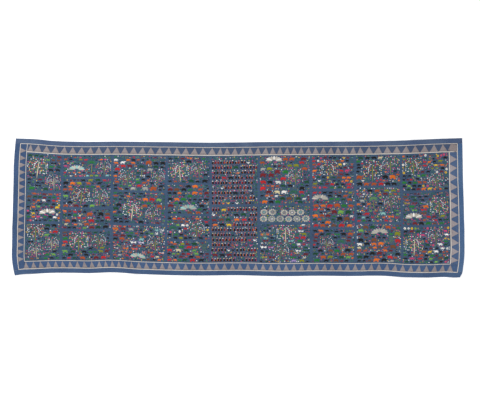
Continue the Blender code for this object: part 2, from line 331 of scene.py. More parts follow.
@dataclass(frozen=True)
class CottonFinish:
    """Plain-weave cotton, dyed in the piece and sewn by hand: matt, a little faded and mottled."""

    name: str
    colour: str
    faded: str
    slub: float = 0.16
    patches_per_m: float = 5.5
    mottles_per_m: float = 90.0
    slubs_per_m: tuple[float, float, float] = (60.0, 700.0, 1.0)
    thread_mm: float = 1.6
    roughness: float = 0.92
    sheen: float = 0.15

    def material(self) -> bpy.types.Material:
        """Cotton that reads the map "cloth", in metres: broad fading, slubs and a two-way weave.

        Faded patches are about 180 mm wide, mottles 11 mm, and slubs 17 by 1.4 mm. Real threads are
        0.4 mm apart, and are drawn 1.6 mm apart, so that they show in a close view.

        Returns:
            The material.
        """
        made = blank_material(self.name)
        tree = made.node_tree
        place = add_node(tree, "ShaderNodeUVMap", uv_map="cloth").outputs["UV"]
        broad, fine = (
            add_node(tree, "ShaderNodeTexNoise", {"Vector": place, "Scale": scale, "Detail": detail})
            for scale, detail in ((self.patches_per_m, 3.0), (self.mottles_per_m, 4.0)))
        stretched = add_node(tree, "ShaderNodeMapping", {"Vector": place, "Scale": self.slubs_per_m})
        slubs = add_node(
            tree, "ShaderNodeTexNoise", {"Vector": stretched.outputs[0], "Scale": 1.0, "Detail": 2.0})
        fade = add_node(
            tree, "ShaderNodeMapRange",
            {"Value": broad.outputs["Fac"], "From Min": 0.35, "From Max": 0.68})
        base = add_node(
            tree, "ShaderNodeMix",
            {"Factor": fade.outputs[0], 6: linear(self.colour), 7: linear(self.faded)}, data_type="RGBA")
        shade, streak = (
            add_node(
                tree, "ShaderNodeMapRange",
                {"Value": noise.outputs["Fac"], "From Min": 0.3, "From Max": 0.7,
                 "To Min": 1 - swing, "To Max": 1 + swing})
            for noise, swing in ((fine, self.slub), (slubs, self.slub / 2)))
        both = add_node(
            tree, "ShaderNodeMath", {0: shade.outputs[0], 1: streak.outputs[0]}, operation="MULTIPLY")
        tone = add_node(
            tree, "ShaderNodeVectorMath", {0: base.outputs[2], "Scale": both.outputs[0]}, operation="SCALE")
        scale = WAVE_PITCH / (self.thread_mm * MM)
        warp, weft = (
            add_node(
                tree, "ShaderNodeTexWave", {"Vector": place, "Scale": scale, "Distortion": 0.6},
                bands_direction=way)
            for way in "XY")
        weave = add_node(
            tree, "ShaderNodeMath", {0: warp.outputs["Fac"], 1: weft.outputs["Fac"]}, operation="ADD")
        relief = add_node(
            tree, "ShaderNodeMath", {0: weave.outputs[0], 1: fine.outputs["Fac"]}, operation="ADD")
        bump = add_node(
            tree, "ShaderNodeBump", {"Height": relief.outputs[0], "Strength": 0.35, "Distance": 0.0004})
        shader = add_node(
            tree, "ShaderNodeBsdfPrincipled",
            {"Base Color": tone.outputs[0], "Roughness": self.roughness, "Normal": bump.outputs[0],
             "Sheen Weight": self.sheen, "Sheen Roughness": 0.6, "Specular IOR Level": 0.2})
        add_node(tree, "ShaderNodeOutputMaterial", {"Surface": shader.outputs[0]})
        return made


class Floss(Enum):
    """Colours of the embroidery thread, sRGB."""

    RUST = "#b8541f"
    ORANGE = "#ee7618"
    MAROON = "#741a20"
    RED = "#cc1c22"
    SALMON = "#dc8a80"
    PINK = "#e0447e"
    WHITE = "#fdfaf4"
    CREAM = "#ecdcae"
    YELLOW = "#f2c822"
    OLIVE = "#8e9214"
    GREEN = "#1e7c2c"
    DARK_GREEN = "#0a4c26"
    LIGHT_GREEN = "#7ab24c"
    AQUA = "#96d0cc"
    TEAL = "#106070"
    NAVY = "#161a48"
    BLACK = "#08080a"
    LILAC = "#aa92cc"
    BROWN = "#77482a"
    GREY = "#b0b0a8"
    STONE = "#c6bfb4"


@dataclass(frozen=True)
class FlossFinish:
    """Mercerised cotton floss in satin stitch: smooth, with a soft shine and fine cross lines of painted
    shade between the strands.
    """

    name: str = "mercerised cotton floss"
    strand_mm: float = 1.3
    roughness: float = 0.6
    sheen: float = 0.2

    def material(self) -> bpy.types.Material:
        """Floss that reads its colour from "floss" and its strands from the map "thread", in metres.

        Real strands are 0.5 mm wide. They are drawn 1.3 mm apart, so that they show in a close view.

        Returns:
            The material.
        """
        made = blank_material(self.name)
        tree = made.node_tree
        place = add_node(tree, "ShaderNodeUVMap", uv_map="thread").outputs["UV"]
        dye = add_node(tree, "ShaderNodeAttribute", attribute_name="floss")
        strands = add_node(
            tree, "ShaderNodeTexWave",
            {"Vector": place, "Scale": WAVE_PITCH / (self.strand_mm * MM), "Distortion": 1.5, "Detail": 1.0},
            bands_direction="X")
        # Painted shade in the grooves between strands and a painted highlight on their tops: the floss
        # colour is scaled from 0.78 to 1.10 across each strand
        groove_shade_and_strand_highlight = add_node(
            tree, "ShaderNodeMapRange", {"Value": strands.outputs["Fac"], "To Min": 0.78, "To Max": 1.10})
        tone = add_node(
            tree, "ShaderNodeVectorMath", {0: dye.outputs["Color"], "Scale": groove_shade_and_strand_highlight.outputs[0]},
            operation="SCALE")
        bump = add_node(
            tree, "ShaderNodeBump",
            {"Height": strands.outputs["Fac"], "Strength": 0.4, "Distance": 0.0003})
        shader = add_node(
            tree, "ShaderNodeBsdfPrincipled",
            {"Base Color": tone.outputs[0], "Roughness": self.roughness, "Normal": bump.outputs[0],
             "Sheen Weight": self.sheen, "Sheen Roughness": 0.4, "Specular IOR Level": 0.3})
        add_node(tree, "ShaderNodeOutputMaterial", {"Surface": shader.outputs[0]})
        return made


@dataclass
class MeshParts:
    """Arrays for one mesh: points, faces as corner lists, and maps and colours with a row a point."""

    points: np.ndarray
    quads: np.ndarray
    triangles: np.ndarray = field(default_factory=lambda: np.zeros((0, 3), int))
    maps: dict[str, np.ndarray] = field(default_factory=dict)
    colours: np.ndarray | None = None


def joined(parts: list[MeshParts]) -> MeshParts:
    """Several arrays as one, with the export's cells of each put side by side.

    Args:
        parts: arrays with the same maps.

    Returns:
        One set of arrays.
    """
    counts = np.array([len(part.points) for part in parts])
    firsts = np.cumsum(counts) - counts
    edges = np.concatenate(([0.0], np.cumsum(counts) / counts.sum()))
    maps = {name: np.concatenate([part.maps[name] for part in parts]) for name in parts[0].maps}
    if "OFBake" in maps:
        maps["OFBake"] = np.concatenate([
            part.maps["OFBake"] * (high - low, 1.0) + (low, 0.0)
            for part, low, high in zip(parts, edges, edges[1:])])
    return MeshParts(
        np.concatenate([part.points for part in parts]),
        np.concatenate([part.quads + first for part, first in zip(parts, firsts)]),
        np.concatenate([part.triangles + first for part, first in zip(parts, firsts)]),
        maps,
        None if parts[0].colours is None else np.concatenate([part.colours for part in parts]))


def put_piece(name: str, parts: MeshParts, material: bpy.types.Material) -> bpy.types.Object:
    """Make a piece at the origin that rides on the cloth's one body.

    Args:
        name: the piece's name.
        parts: its arrays.
        material: its material.

    Returns:
        The new object.
    """
    mesh = bpy.data.meshes.new(name)
    corners = np.concatenate((parts.quads.ravel(), parts.triangles.ravel()))
    sides = np.concatenate((np.full(len(parts.quads), 4), np.full(len(parts.triangles), 3)))
    mesh.vertices.add(len(parts.points))
    mesh.vertices.foreach_set("co", parts.points.astype(np.float32).ravel())
    mesh.loops.add(len(corners))
    mesh.loops.foreach_set("vertex_index", corners.astype(np.int32))
    mesh.polygons.add(len(sides))
    mesh.polygons.foreach_set("loop_start", (np.cumsum(sides) - sides).astype(np.int32))
    for title, places in parts.maps.items():
        layer = mesh.uv_layers.new(name=title)
        layer.uv.foreach_set("vector", places[corners].astype(np.float32).ravel())
    if parts.colours is not None:
        layer = mesh.color_attributes.new("floss", "FLOAT_COLOR", "POINT")
        layer.data.foreach_set("color", parts.colours.astype(np.float32).ravel())
    mesh.update(calc_edges=True)
    mesh.shade_smooth()
    mesh.materials.append(material)
    piece = bpy.data.objects.new(name, mesh)
    bpy.context.scene.collection.objects.link(piece)
    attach(piece, "root")
    LOG.info("%s: %d triangles", name, 2 * len(parts.quads) + len(parts.triangles))
    return piece


def closed_sheet(lay: Lay, across: np.ndarray, up: np.ndarray, top: np.ndarray, back: float) -> MeshParts:
    """A closed sheet over a grid of cut places: a face, a back and a rim that joins them.

    Args:
        lay: where the cloth lies.
        across: places along the cut, one a column.
        up: places up the cut, one a row.
        top: heights of the face over the cloth's back, rows by columns.
        back: height of the back.

    Returns:
        The arrays, with the map "cloth" in metres.
    """
    s, t = np.meshgrid(across, up)
    rows, columns = s.shape
    count = rows * columns
    number = np.arange(count).reshape(rows, columns)
    corners = (number[:-1, :-1], number[:-1, 1:], number[1:, 1:], number[1:, :-1])
    upper = np.stack(corners, axis=-1).reshape(-1, 4)
    ring = np.concatenate((number[0, :-1], number[:-1, -1], number[-1, :0:-1], number[:0:-1, 0]))
    after = np.roll(ring, -1)
    rim = np.stack((ring + count, after + count, after, ring), axis=1)
    face = lay.points(s, t, top).reshape(-1, 3)
    under = lay.points(s, t, np.full(s.shape, back)).reshape(-1, 3)
    places = np.stack((s.ravel(), t.ravel()), axis=1)
    return MeshParts(
        np.concatenate((face, under)),
        np.concatenate((upper, upper[:, ::-1] + count, rim)),
        maps={"cloth": np.concatenate((places, places))})


@dataclass(frozen=True)
class Profile:
    """A cross-section carried along a path: rows of (place across, -1 to 1, and height, 0 to 1)."""

    rows: tuple[tuple[float, float], ...]


TAPE = Profile((
    (-1.0, 0.0), (-1.0, 0.5), (-0.8, 0.9), (-0.3, 1.0), (0.3, 1.0), (0.8, 0.9), (1.0, 0.5), (1.0, 0.0)))
DOME = Profile(((-1.0, 0.0), (-0.68, 0.74), (0.0, 1.0), (0.68, 0.74), (1.0, 0.0)))
SLIM = Profile(((-1.0, 0.0), (-0.5, 0.9), (0.5, 0.9), (1.0, 0.0)))


def bake_cells(bars: int, stations: int, around: int) -> np.ndarray:
    """A map for the export, where each bar has its own cell, its length across and its girth up.

    Args:
        bars: number of bars.
        stations: rings along each bar.
        around: points in a ring.

    Returns:
        A place for each point.
    """
    columns = math.ceil(math.sqrt(bars))
    rows = math.ceil(bars / columns)
    number = np.arange(bars)[:, None, None]
    along = np.linspace(CELL_MARGIN, 1 - CELL_MARGIN, stations)[None, :, None]
    girth = np.linspace(CELL_MARGIN, 1 - CELL_MARGIN, around)[None, None, :]
    across = (number % columns + along) / columns + 0 * girth
    up = (number // columns + girth) / rows + 0 * along
    return np.stack((across, up), axis=-1).reshape(-1, 2)


def carried(lay: Lay, centres: np.ndarray, halves: np.ndarray, rises: np.ndarray, base: float,
            profile: Profile) -> MeshParts:
    """Closed bars on the cloth: a profile carried along each path, square to it, with flat ends.

    Args:
        lay: where the cloth lies.
        centres: cut places of each path, bars by stations by two.
        halves: half widths, bars by stations.
        rises: heights of the profile's top, bars by stations.
        base: height of the profile's foot over the cloth's back.
        profile: the cross-section.

    Returns:
        The arrays, with the maps "cloth" and "thread" in metres, and "OFBake" for the export.
    """
    bars, stations = halves.shape
    section = np.array(profile.rows)
    around = len(section)
    step = np.gradient(centres, axis=1)
    side = np.stack((step[..., 1], -step[..., 0]), axis=-1)
    side /= np.maximum(np.linalg.norm(side, axis=-1, keepdims=True), TINY)
    across = halves[:, :, None] * section[:, 0]
    flat = centres[:, :, None, :] + side[:, :, None, :] * across[..., None]
    height = base + rises[:, :, None] * section[:, 1]
    points = lay.points(flat[..., 0], flat[..., 1], height).reshape(-1, 3)
    ring = np.arange(around)
    station = np.arange(stations - 1)[:, None] * around
    here = station + ring
    beside = station + (ring + 1) % around
    quads = np.stack((here, beside, beside + around, here + around), axis=-1).reshape(-1, 4)
    fan = np.stack((np.zeros(around - 2, int), ring[1:-1], ring[2:]), axis=1)
    caps = np.concatenate((fan[:, ::-1], fan + (stations - 1) * around))
    first = np.arange(bars)[:, None, None] * stations * around
    run = np.linalg.norm(np.diff(centres, axis=1), axis=-1)
    along = np.concatenate((np.zeros((bars, 1)), np.cumsum(run, axis=1)), axis=1)
    thread = np.stack(np.broadcast_arrays(along[:, :, None], across), axis=-1)
    return MeshParts(
        points, (quads + first).reshape(-1, 4), (caps + first).reshape(-1, 3),
        {"cloth": flat.reshape(-1, 2), "thread": thread.reshape(-1, 2),
         "OFBake": bake_cells(bars, stations, around)})


def spaced(low: float, high: float, spacing: float) -> np.ndarray:
    """Even places from low to high, no further apart than spacing."""
    return np.linspace(low, high, max(2, math.ceil((high - low) / spacing) + 1))


@dataclass
class GroundCloth:
    """The cotton that lies on the surface: field, four bands and four lengths of outer border."""

    lay: Lay
    plan: BorderPlan
    thickness: float = 0.0020
    back: float = 0.0001
    field_step: float = 0.014
    border_step: float = 0.010
    hem_width: float = 0.012
    hem_rise: float = 0.0007
    edge_round: float = 0.0045
    edge_share: float = 0.35
    edge_lines: tuple[float, ...] = (0.0004, 0.0015, 0.003, 0.0045, 0.0085, 0.0105, 0.0135, 0.0155)

    def stretches(self) -> dict[str, Rectangle]:
        """Each ground node's name and its stretch of the cut."""
        cut, outer, inner = self.plan.cut, self.plan.outer, self.plan.inner
        return {
            "ground_field": inner,
            "band_left": Rectangle(outer.left, outer.bottom, inner.left, outer.top),
            "band_bottom": Rectangle(inner.left, outer.bottom, outer.right, inner.bottom),
            "band_right": Rectangle(inner.right, inner.bottom, outer.right, inner.top),
            "band_top": Rectangle(inner.left, inner.top, outer.right, outer.top),
            "border_top": Rectangle(cut.left, outer.top, cut.right, cut.top),
            "border_bottom": Rectangle(cut.left, cut.bottom, cut.right, outer.bottom),
            "border_left": Rectangle(cut.left, outer.bottom, outer.left, outer.top),
            "border_right": Rectangle(outer.right, outer.bottom, cut.right, outer.top),
        }

    def lines(self, low: float, high: float, spacing: float, edge: float) -> np.ndarray:
        """Even places from low to high, with closer ones where the hem turns at a free edge.

        Args:
            low: first place.
            high: last place.
            spacing: distance between even places.
            edge: distance of the free edges from the middle.

        Returns:
            The places in order.
        """
        extra = [side * (edge - line) for side in (-1, 1) for line in self.edge_lines]
        places = np.concatenate((spaced(low, high, spacing), [x for x in extra if low < x < high]))
        return np.unique(np.round(places, 5))

    def face_height(self, across: np.ndarray, up: np.ndarray) -> np.ndarray:
        """Height of the face: level inside, raised over the turned hem, and rounded at the edge.

        Args:
            across: places along the cut.
            up: places up the cut.

        Returns:
            Heights over the cloth's back, rows by columns.
        """
        inside = self.lay.inside(*np.meshgrid(across, up))
        hem = self.hem_rise / (1 + np.exp((inside - self.hem_width) / MM))
        near = np.clip(inside / self.edge_round, 0, 1)
        arc = np.sqrt(1 - (1 - near) ** 2)
        return (self.thickness + hem) * (self.edge_share + (1 - self.edge_share) * arc)

    def build(self, finishes: dict[str, CottonFinish]) -> dict[str, bpy.types.Object]:
        """Make and dress all nine sheets.

        Args:
            finishes: a finish for each node's name.

        Returns:
            The pieces by node name.
        """
        made = {}
        for node, stretch in self.stretches().items():
            inner = stretch.inset(GAP / 2)
            spacing = self.field_step if node == "ground_field" else self.border_step
            across = self.lines(inner.left, inner.right, spacing, self.lay.length / 2)
            up = self.lines(inner.bottom, inner.top, spacing, self.lay.height / 2)
            parts = closed_sheet(self.lay, across, up, self.face_height(across, up), self.back)
            made[node] = put_piece(node + "_cloth", parts, finishes[node].material())
            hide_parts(node)
        return made


@dataclass
class OffWhiteStrips:
    """Eight narrow tapes of off-white cotton, turned in at both sides and sewn over the seams."""

    lay: Lay
    plan: BorderPlan
    base: float = 0.0021
    rise: float = 0.0012
    step: float = 0.012
    wander: float = 0.0004
    settle: float = 0.03
    wave: float = 0.130
    width_swing: float = 0.06
    rise_swing: float = 0.08

    def runs(self) -> dict[str, tuple[float, float, float, float, float]]:
        """Each strip node's name, the ends of its centre line and its half width."""
        outer, inner = self.plan.outer, self.plan.inner
        rim, ring = self.plan.outer_halves, self.plan.inner_halves
        left, right = outer.left - rim.left, outer.right + rim.right
        bottom, top = outer.bottom + rim.bottom, outer.top - rim.top
        return {
            "outer_strip_top": (left, outer.top, right, outer.top, rim.top),
            "outer_strip_bottom": (left, outer.bottom, right, outer.bottom, rim.bottom),
            "outer_strip_left": (outer.left, bottom, outer.left, top, rim.left),
            "outer_strip_right": (outer.right, bottom, outer.right, top, rim.right),
            "inner_strip_left": (inner.left, inner.bottom - ring.bottom, inner.left, top, ring.left),
            "inner_strip_top": (
                inner.left + ring.left, inner.top, outer.right - rim.right, inner.top, ring.top),
            "inner_strip_right": (
                inner.right, inner.bottom - ring.bottom, inner.right, inner.top - ring.top, ring.right),
            "inner_strip_bottom": (
                inner.left + ring.left, inner.bottom, inner.right - ring.right, inner.bottom, ring.bottom),
        }

    def build(self, finish: CottonFinish) -> list[bpy.types.Object]:
        """Make and dress the strips, each wandering a little off its line as hand sewing does.

        Args:
            finish: the tape's finish.

        Returns:
            The pieces.
        """
        material = finish.material()
        made = []
        for number, (node, (s0, t0, s1, t1, half)) in enumerate(self.runs().items()):
            length = math.hypot(s1 - s0, t1 - t0)
            way = np.array(((s1 - s0) / length, (t1 - t0) / length))
            along = spaced(GAP, length - GAP, self.step)
            settled = np.clip(np.minimum(along, length - along) / self.settle, 0, 1)
            turn = 2 * math.pi / self.wave
            off = self.wander * settled * np.sin(turn * along + 2 * np.sin(turn * along / 3.1 + number))
            centres = np.array((s0, t0)) + along[:, None] * way + off[:, None] * (way[1], -way[0])
            halves = half * (1 + self.width_swing * np.sin(2.3 * turn * along + number))
            rises = self.rise * (1 - self.rise_swing * (1 - np.sin(4.1 * turn * along)))
            parts = carried(self.lay, centres[None], halves[None], rises[None], self.base, TAPE)
            parts.maps.pop("OFBake")
            made.append(put_piece(node + "_tape", parts, material))
            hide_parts(node)
        return made


@dataclass(frozen=True)
class TeethRow:
    """Teeth side by side: the first one's start, a foot's share of the pitch, and their runs.

    A run is a number of teeth and their pitch.
    """

    start: float
    share: float
    runs: tuple[tuple[int, float], ...]

    def teeth(self) -> tuple[np.ndarray, np.ndarray]:
        """Where each tooth starts, with the row's end last, and each tooth's pitch."""
        pitches = np.concatenate([np.full(count, pitch) for count, pitch in self.runs])
        return self.start + np.concatenate(([0.0], np.cumsum(pitches))), pitches


@dataclass
class Sawtooth:
    """Folded points of grey-lilac cotton along each band, fused to a narrow rail at their base."""

    lay: Lay
    plan: BorderPlan
    base: float = 0.0021
    rise: float = 0.0013
    rail: float = 0.0025
    clearance: float = 0.0015
    lean: float = 0.003
    lean_step: float = 2.1
    tip_half: float = 0.0004
    tip_rise: float = 0.75
    rail_step: float = 0.009
    stations: int = 4
    end_block: tuple[float, float, float] = (1.6822, 1.7080, 1.7553)
    top: TeethRow = TeethRow(-1.7004, 0.89, (
        (1, 0.0514), (20, 0.0699), (1, 0.0740), (1, 0.0540), (6, 0.0617), (5, 0.0567), (8, 0.0599),
        (9, 0.0747)))
    bottom: TeethRow = TeethRow(-1.7226, 0.75, (
        (4, 0.0590), (7, 0.0579), (5, 0.0513), (14, 0.0624), (14, 0.0613), (13, 0.0633)))
    left: TeethRow = TeethRow(-0.4488, 0.72, ((16, 0.0576),))
    right: TeethRow = TeethRow(-0.4361, 0.86, ((1, 0.0588), (11, 0.0720)))

    def rows(self) -> dict[str, tuple[TeethRow, float, float]]:
        """Each sawtooth node: its row, and the lines that its base and its points keep to."""
        outer, inner = self.plan.outer, self.plan.inner
        rim, ring = self.plan.outer_halves, self.plan.inner_halves
        return {
            "sawtooth_top": (self.top, inner.top + ring.top, outer.top - rim.top),
            "sawtooth_bottom": (self.bottom, outer.bottom + rim.bottom, inner.bottom - ring.bottom),
            "sawtooth_left": (self.left, outer.left + rim.left, inner.left - ring.left),
            "sawtooth_right": (self.right, inner.right + ring.right, outer.right - rim.right),
        }

    def tooth_paths(self, row: TeethRow, base: float, apex: float) -> tuple[np.ndarray, np.ndarray]:
        """Centre lines and half widths of teeth that point along the second axis.

        A tooth narrows evenly from its foot to a blunt point, and its point leans a little.

        Args:
            row: the teeth.
            base: place of the base line.
            apex: place of the line that the points stay short of.

        Returns:
            Centres, teeth by stations by two, and half widths, teeth by stations.
        """
        v = np.linspace(0, 1, self.stations)
        starts, pitches = row.teeth()
        lean = self.lean * np.sin(self.lean_step * np.arange(len(pitches)))
        s = (starts[:-1] + pitches / 2)[:, None] + lean[:, None] * v
        low, high = base + GAP + self.rail / 2, apex - self.clearance
        t = np.broadcast_to(low + v * (high - low), s.shape)
        halves = (row.share * pitches / 2)[:, None] * (1 - v) + self.tip_half * v
        return np.stack((s, t), axis=-1), halves

    def block(self, base: float, apex: float) -> tuple[np.ndarray, np.ndarray, np.ndarray]:
        """The four-sided patch that fills the band's end, slanted on its left side.

        Args:
            base: place of the base line.
            apex: place of the upper line.

        Returns:
            Centres, half widths and heights of one bar.
        """
        low, high, end = self.end_block
        v = np.linspace(0, 1, self.stations)
        left = low + (high - low) * v
        t = base + GAP + v * (apex - base - self.clearance - GAP)
        centres = np.stack(((left + end) / 2, t), axis=-1)[None]
        return centres, ((end - left) / 2)[None], np.full((1, self.stations), self.rise)

    def build(self, finish: CottonFinish, paler: CottonFinish) -> list[bpy.types.Object]:
        """Make and dress the four rows of teeth.

        Args:
            finish: the applique cotton's finish.
            paler: its finish on the right row, which has faded more.

        Returns:
            The pieces.
        """
        material, faded = finish.material(), paler.material()
        made = []
        for node, (row, base, apex) in self.rows().items():
            centres, halves = self.tooth_paths(row, base, apex)
            rises = self.rise * np.linspace(1, self.tip_rise, self.stations)
            shapes = [(centres, halves, np.broadcast_to(rises, halves.shape))]
            end = row.teeth()[0][-1]
            if node == "sawtooth_top":
                end = self.end_block[2]
                shapes.append(self.block(base, apex))
            along = spaced(row.start, end, self.rail_step)[None]
            rail = np.stack((along, np.full_like(along, base + GAP + self.rail / 2)), axis=-1)
            shapes.append((rail, np.full_like(along, self.rail / 2), np.full_like(along, self.rise)))
            if node in ("sawtooth_left", "sawtooth_right"):
                shapes = [(flat[..., ::-1], half, rise) for flat, half, rise in shapes]
            parts = joined([carried(self.lay, *shape, self.base, TAPE) for shape in shapes])
            cloth = faded if node == "sawtooth_right" else material
            made.append(put_piece(node + "_applique", parts, cloth))
            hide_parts(node)
        return made


class Role(IntEnum):
    """Which of a motif's five threads a row of stitches is worked in."""

    MAIN = 0
    SECOND = 1
    THIRD = 2
    DETAIL = 3
    ACCENT = 4


MAIN, SECOND, THIRD, DETAIL, ACCENT = Role


@dataclass(frozen=True)
class Stitches:
    """One domed row of satin stitch, in units of the motif's width: ends, half widths, bow, thread."""

    x0: float
    y0: float
    x1: float
    y1: float
    start: float
    end: float
    belly: float = 0.0
    bow: float = 0.0
    role: Role = MAIN


@dataclass(frozen=True)
class Motif:
    """A named set of stitch rows, the real width it is worked at, and the margin it keeps round it."""

    name: str
    width_mm: float
    rows: list[Stitches]
    margin_mm: float = 0.6
    grain_mm: float = 2.0

    @cached_property
    def table(self) -> np.ndarray:
        """All rows as numbers, in the order of the fields of Stitches."""
        return np.array([astuple(row) for row in self.rows], float)

    @cached_property
    def footprint(self) -> np.ndarray:
        """Places all over the stitches and in the margin round them, in widths, one grain apart."""
        x0, y0, x1, y1, start, end, belly, bow = self.table[:, :8].T[..., None, None]
        length = np.hypot(x1 - x0, y1 - y0) + TINY
        margin = self.margin_mm / self.width_mm
        u, across = np.linspace(0, 1, 17)[:, None], np.linspace(-1, 1, 7)
        half = start * (1 - u) + end * u + belly * 4 * u * (1 - u) + margin
        beyond = (2 * u - 1) * margin / length
        off = bow * 4 * u * (1 - u) + half * across
        x = x0 + (x1 - x0) * (u + beyond) - (y1 - y0) / length * off
        y = y0 + (y1 - y0) * (u + beyond) + (x1 - x0) / length * off
        step = self.grain_mm / self.width_mm
        return np.unique(np.round(np.stack((x.ravel(), y.ravel()), axis=-1) / step), axis=0) * step


@dataclass(frozen=True)
class Beast:
    """A four-legged animal drawn from its own sizes, walking to the right."""

    name: str
    barrel: float
    depth: float
    leg: float
    leg_half: float
    neck: tuple[float, float]
    neck_half: float
    head: tuple[float, float]
    head_half: float
    tail: tuple[float, float]
    tail_half: float
    ear: float
    horn: float
    stripes: int
    trunk: float
    width_mm: float

    def motif(self) -> Motif:
        """Barrel, neck, head, legs, tail, ears and what else this animal has, as stitch rows."""
        deep, head = self.depth, self.head_half
        back, front = -self.barrel / 2 - 0.04, self.barrel / 2 - 0.04
        middle = self.leg + deep
        x, y = front + self.neck[0], middle + self.neck[1]
        mouth_x, mouth_y = x + self.head[0], y + self.head[1]
        rump = back - 0.04
        rows = [
            Stitches(back, middle, front, middle, deep * 0.8, deep * 0.75, deep * 0.25, 0.03),
            Stitches(front - 0.05, middle, x, y, deep * 0.7, self.neck_half, 0, 0.02),
            Stitches(x - 0.02, y, mouth_x, mouth_y, head, head * 0.55, 0.01)]
        for share, lean in ((0.04, -0.02), (0.20, 0.02), (0.80, -0.01), (0.95, 0.03)):
            foot = back + share * (front - back)
            rows.append(Stitches(
                foot, middle - deep * 0.5, foot + lean, 0, self.leg_half * 1.4, self.leg_half))
        rows.append(Stitches(
            rump, middle + deep * 0.4, rump + self.tail[0], middle + self.tail[1],
            self.tail_half, self.tail_half, 0, 0.03))
        if self.ear:
            rows.append(Stitches(
                x, y + head * 0.6, x - 0.03, y + self.ear + head, 0.02, 0.012, 0.01, 0, SECOND))
        if self.horn:
            for root, tip, bow in (
                    (0.01, -0.6 * self.horn, -0.05), (0.03, 0.03 + 0.3 * self.horn, 0.05)):
                rows.append(Stitches(
                    x + root, y + head, x + tip, y + head + self.horn, 0.014, 0.008, 0, bow, THIRD))
        if self.trunk:
            rows.append(Stitches(
                mouth_x, mouth_y, mouth_x + 0.05, mouth_y - self.trunk, 0.035, 0.015, 0, -0.05))
            rows.append(Stitches(x + 0.02, y + 0.03, x, y - 0.11, 0.05, 0.03, 0.02, 0, SECOND))
        for number in range(self.stripes):
            along = back + (number + 0.7) / (self.stripes + 0.4) * (front - back)
            rows.append(Stitches(
                along, middle - deep * 0.7, along + 0.02, middle + deep * 0.85, 0.012, 0.012, 0, 0, DETAIL))
        return Motif(self.name, self.width_mm, rows)


@dataclass(frozen=True)
class Bird:
    """A bird drawn from its own sizes, standing and facing right."""

    name: str
    body: float
    depth: float
    leg: float
    neck: tuple[float, float]
    neck_half: float
    head_half: float
    beak: float
    tail: tuple[float, float]
    tail_rows: int
    tail_half: float
    comb: float
    width_mm: float

    def motif(self) -> Motif:
        """Body, wing, neck, head, beak, tail and legs as stitch rows."""
        deep, head = self.depth, self.head_half
        middle = self.leg + deep * 0.9
        back, front = -self.body * 0.45, self.body * 0.4
        x, y = front + self.neck[0], middle + self.neck[1]
        rows = [
            Stitches(back, middle + 0.02, front, middle, deep * 0.35, deep * 0.6, deep * 0.6, -0.04),
            Stitches(back - 0.01, middle + 0.05, front - 0.1, middle + 0.02, 0.02, deep * 0.45, 0.03,
                     0.04, SECOND),
            Stitches(front - 0.03, middle, x, y, self.neck_half * 1.3, self.neck_half),
            Stitches(x - 0.03, y, x + 0.06, y, head * 0.8, head * 0.6, 0.01),
            Stitches(x + 0.06, y, x + 0.06 + self.beak, y - 0.02, 0.022, 0.008, 0, 0, THIRD)]
        for number in range(self.tail_rows):
            spread = (number - (self.tail_rows - 1) / 2) * 0.09
            rows.append(Stitches(
                back + 0.03, middle + 0.02, back + self.tail[0], middle + self.tail[1] + spread,
                self.tail_half * 0.6, self.tail_half, 0, 0.02 * number, SECOND if number % 2 else MAIN))
        for foot in (-0.02, 0.07):
            rows.append(Stitches(foot, middle - deep * 0.6, foot + 0.01, 0, 0.014, 0.014, 0, 0, THIRD))
        if self.comb:
            rows.append(Stitches(
                x - 0.03, y + head, x + 0.05, y + head + self.comb, 0.03, 0.015, 0, 0, DETAIL))
        return Motif(self.name, self.width_mm, rows)


def petals(count: int, y: float, inner: float, outer: float, half: float, role: Role,
           turn: float = 0.0) -> list[Stitches]:
    """Equal rows laid round a point like petals.

    Args:
        count: number of petals.
        y: place of the point up the motif's middle.
        inner: distance of each petal's start.
        outer: distance of each petal's tip.
        half: half width at the tip.
        role: the thread.
        turn: angle of the first petal, in radians.

    Returns:
        The rows.
    """
    ways = [(math.cos(a), math.sin(a)) for a in turn + 2 * math.pi * np.arange(count) / count]
    return [
        Stitches(inner * x, y + inner * z, outer * x, y + outer * z, half * 0.4, half * 0.7, half * 0.45,
                 0.0, role)
        for x, z in ways]


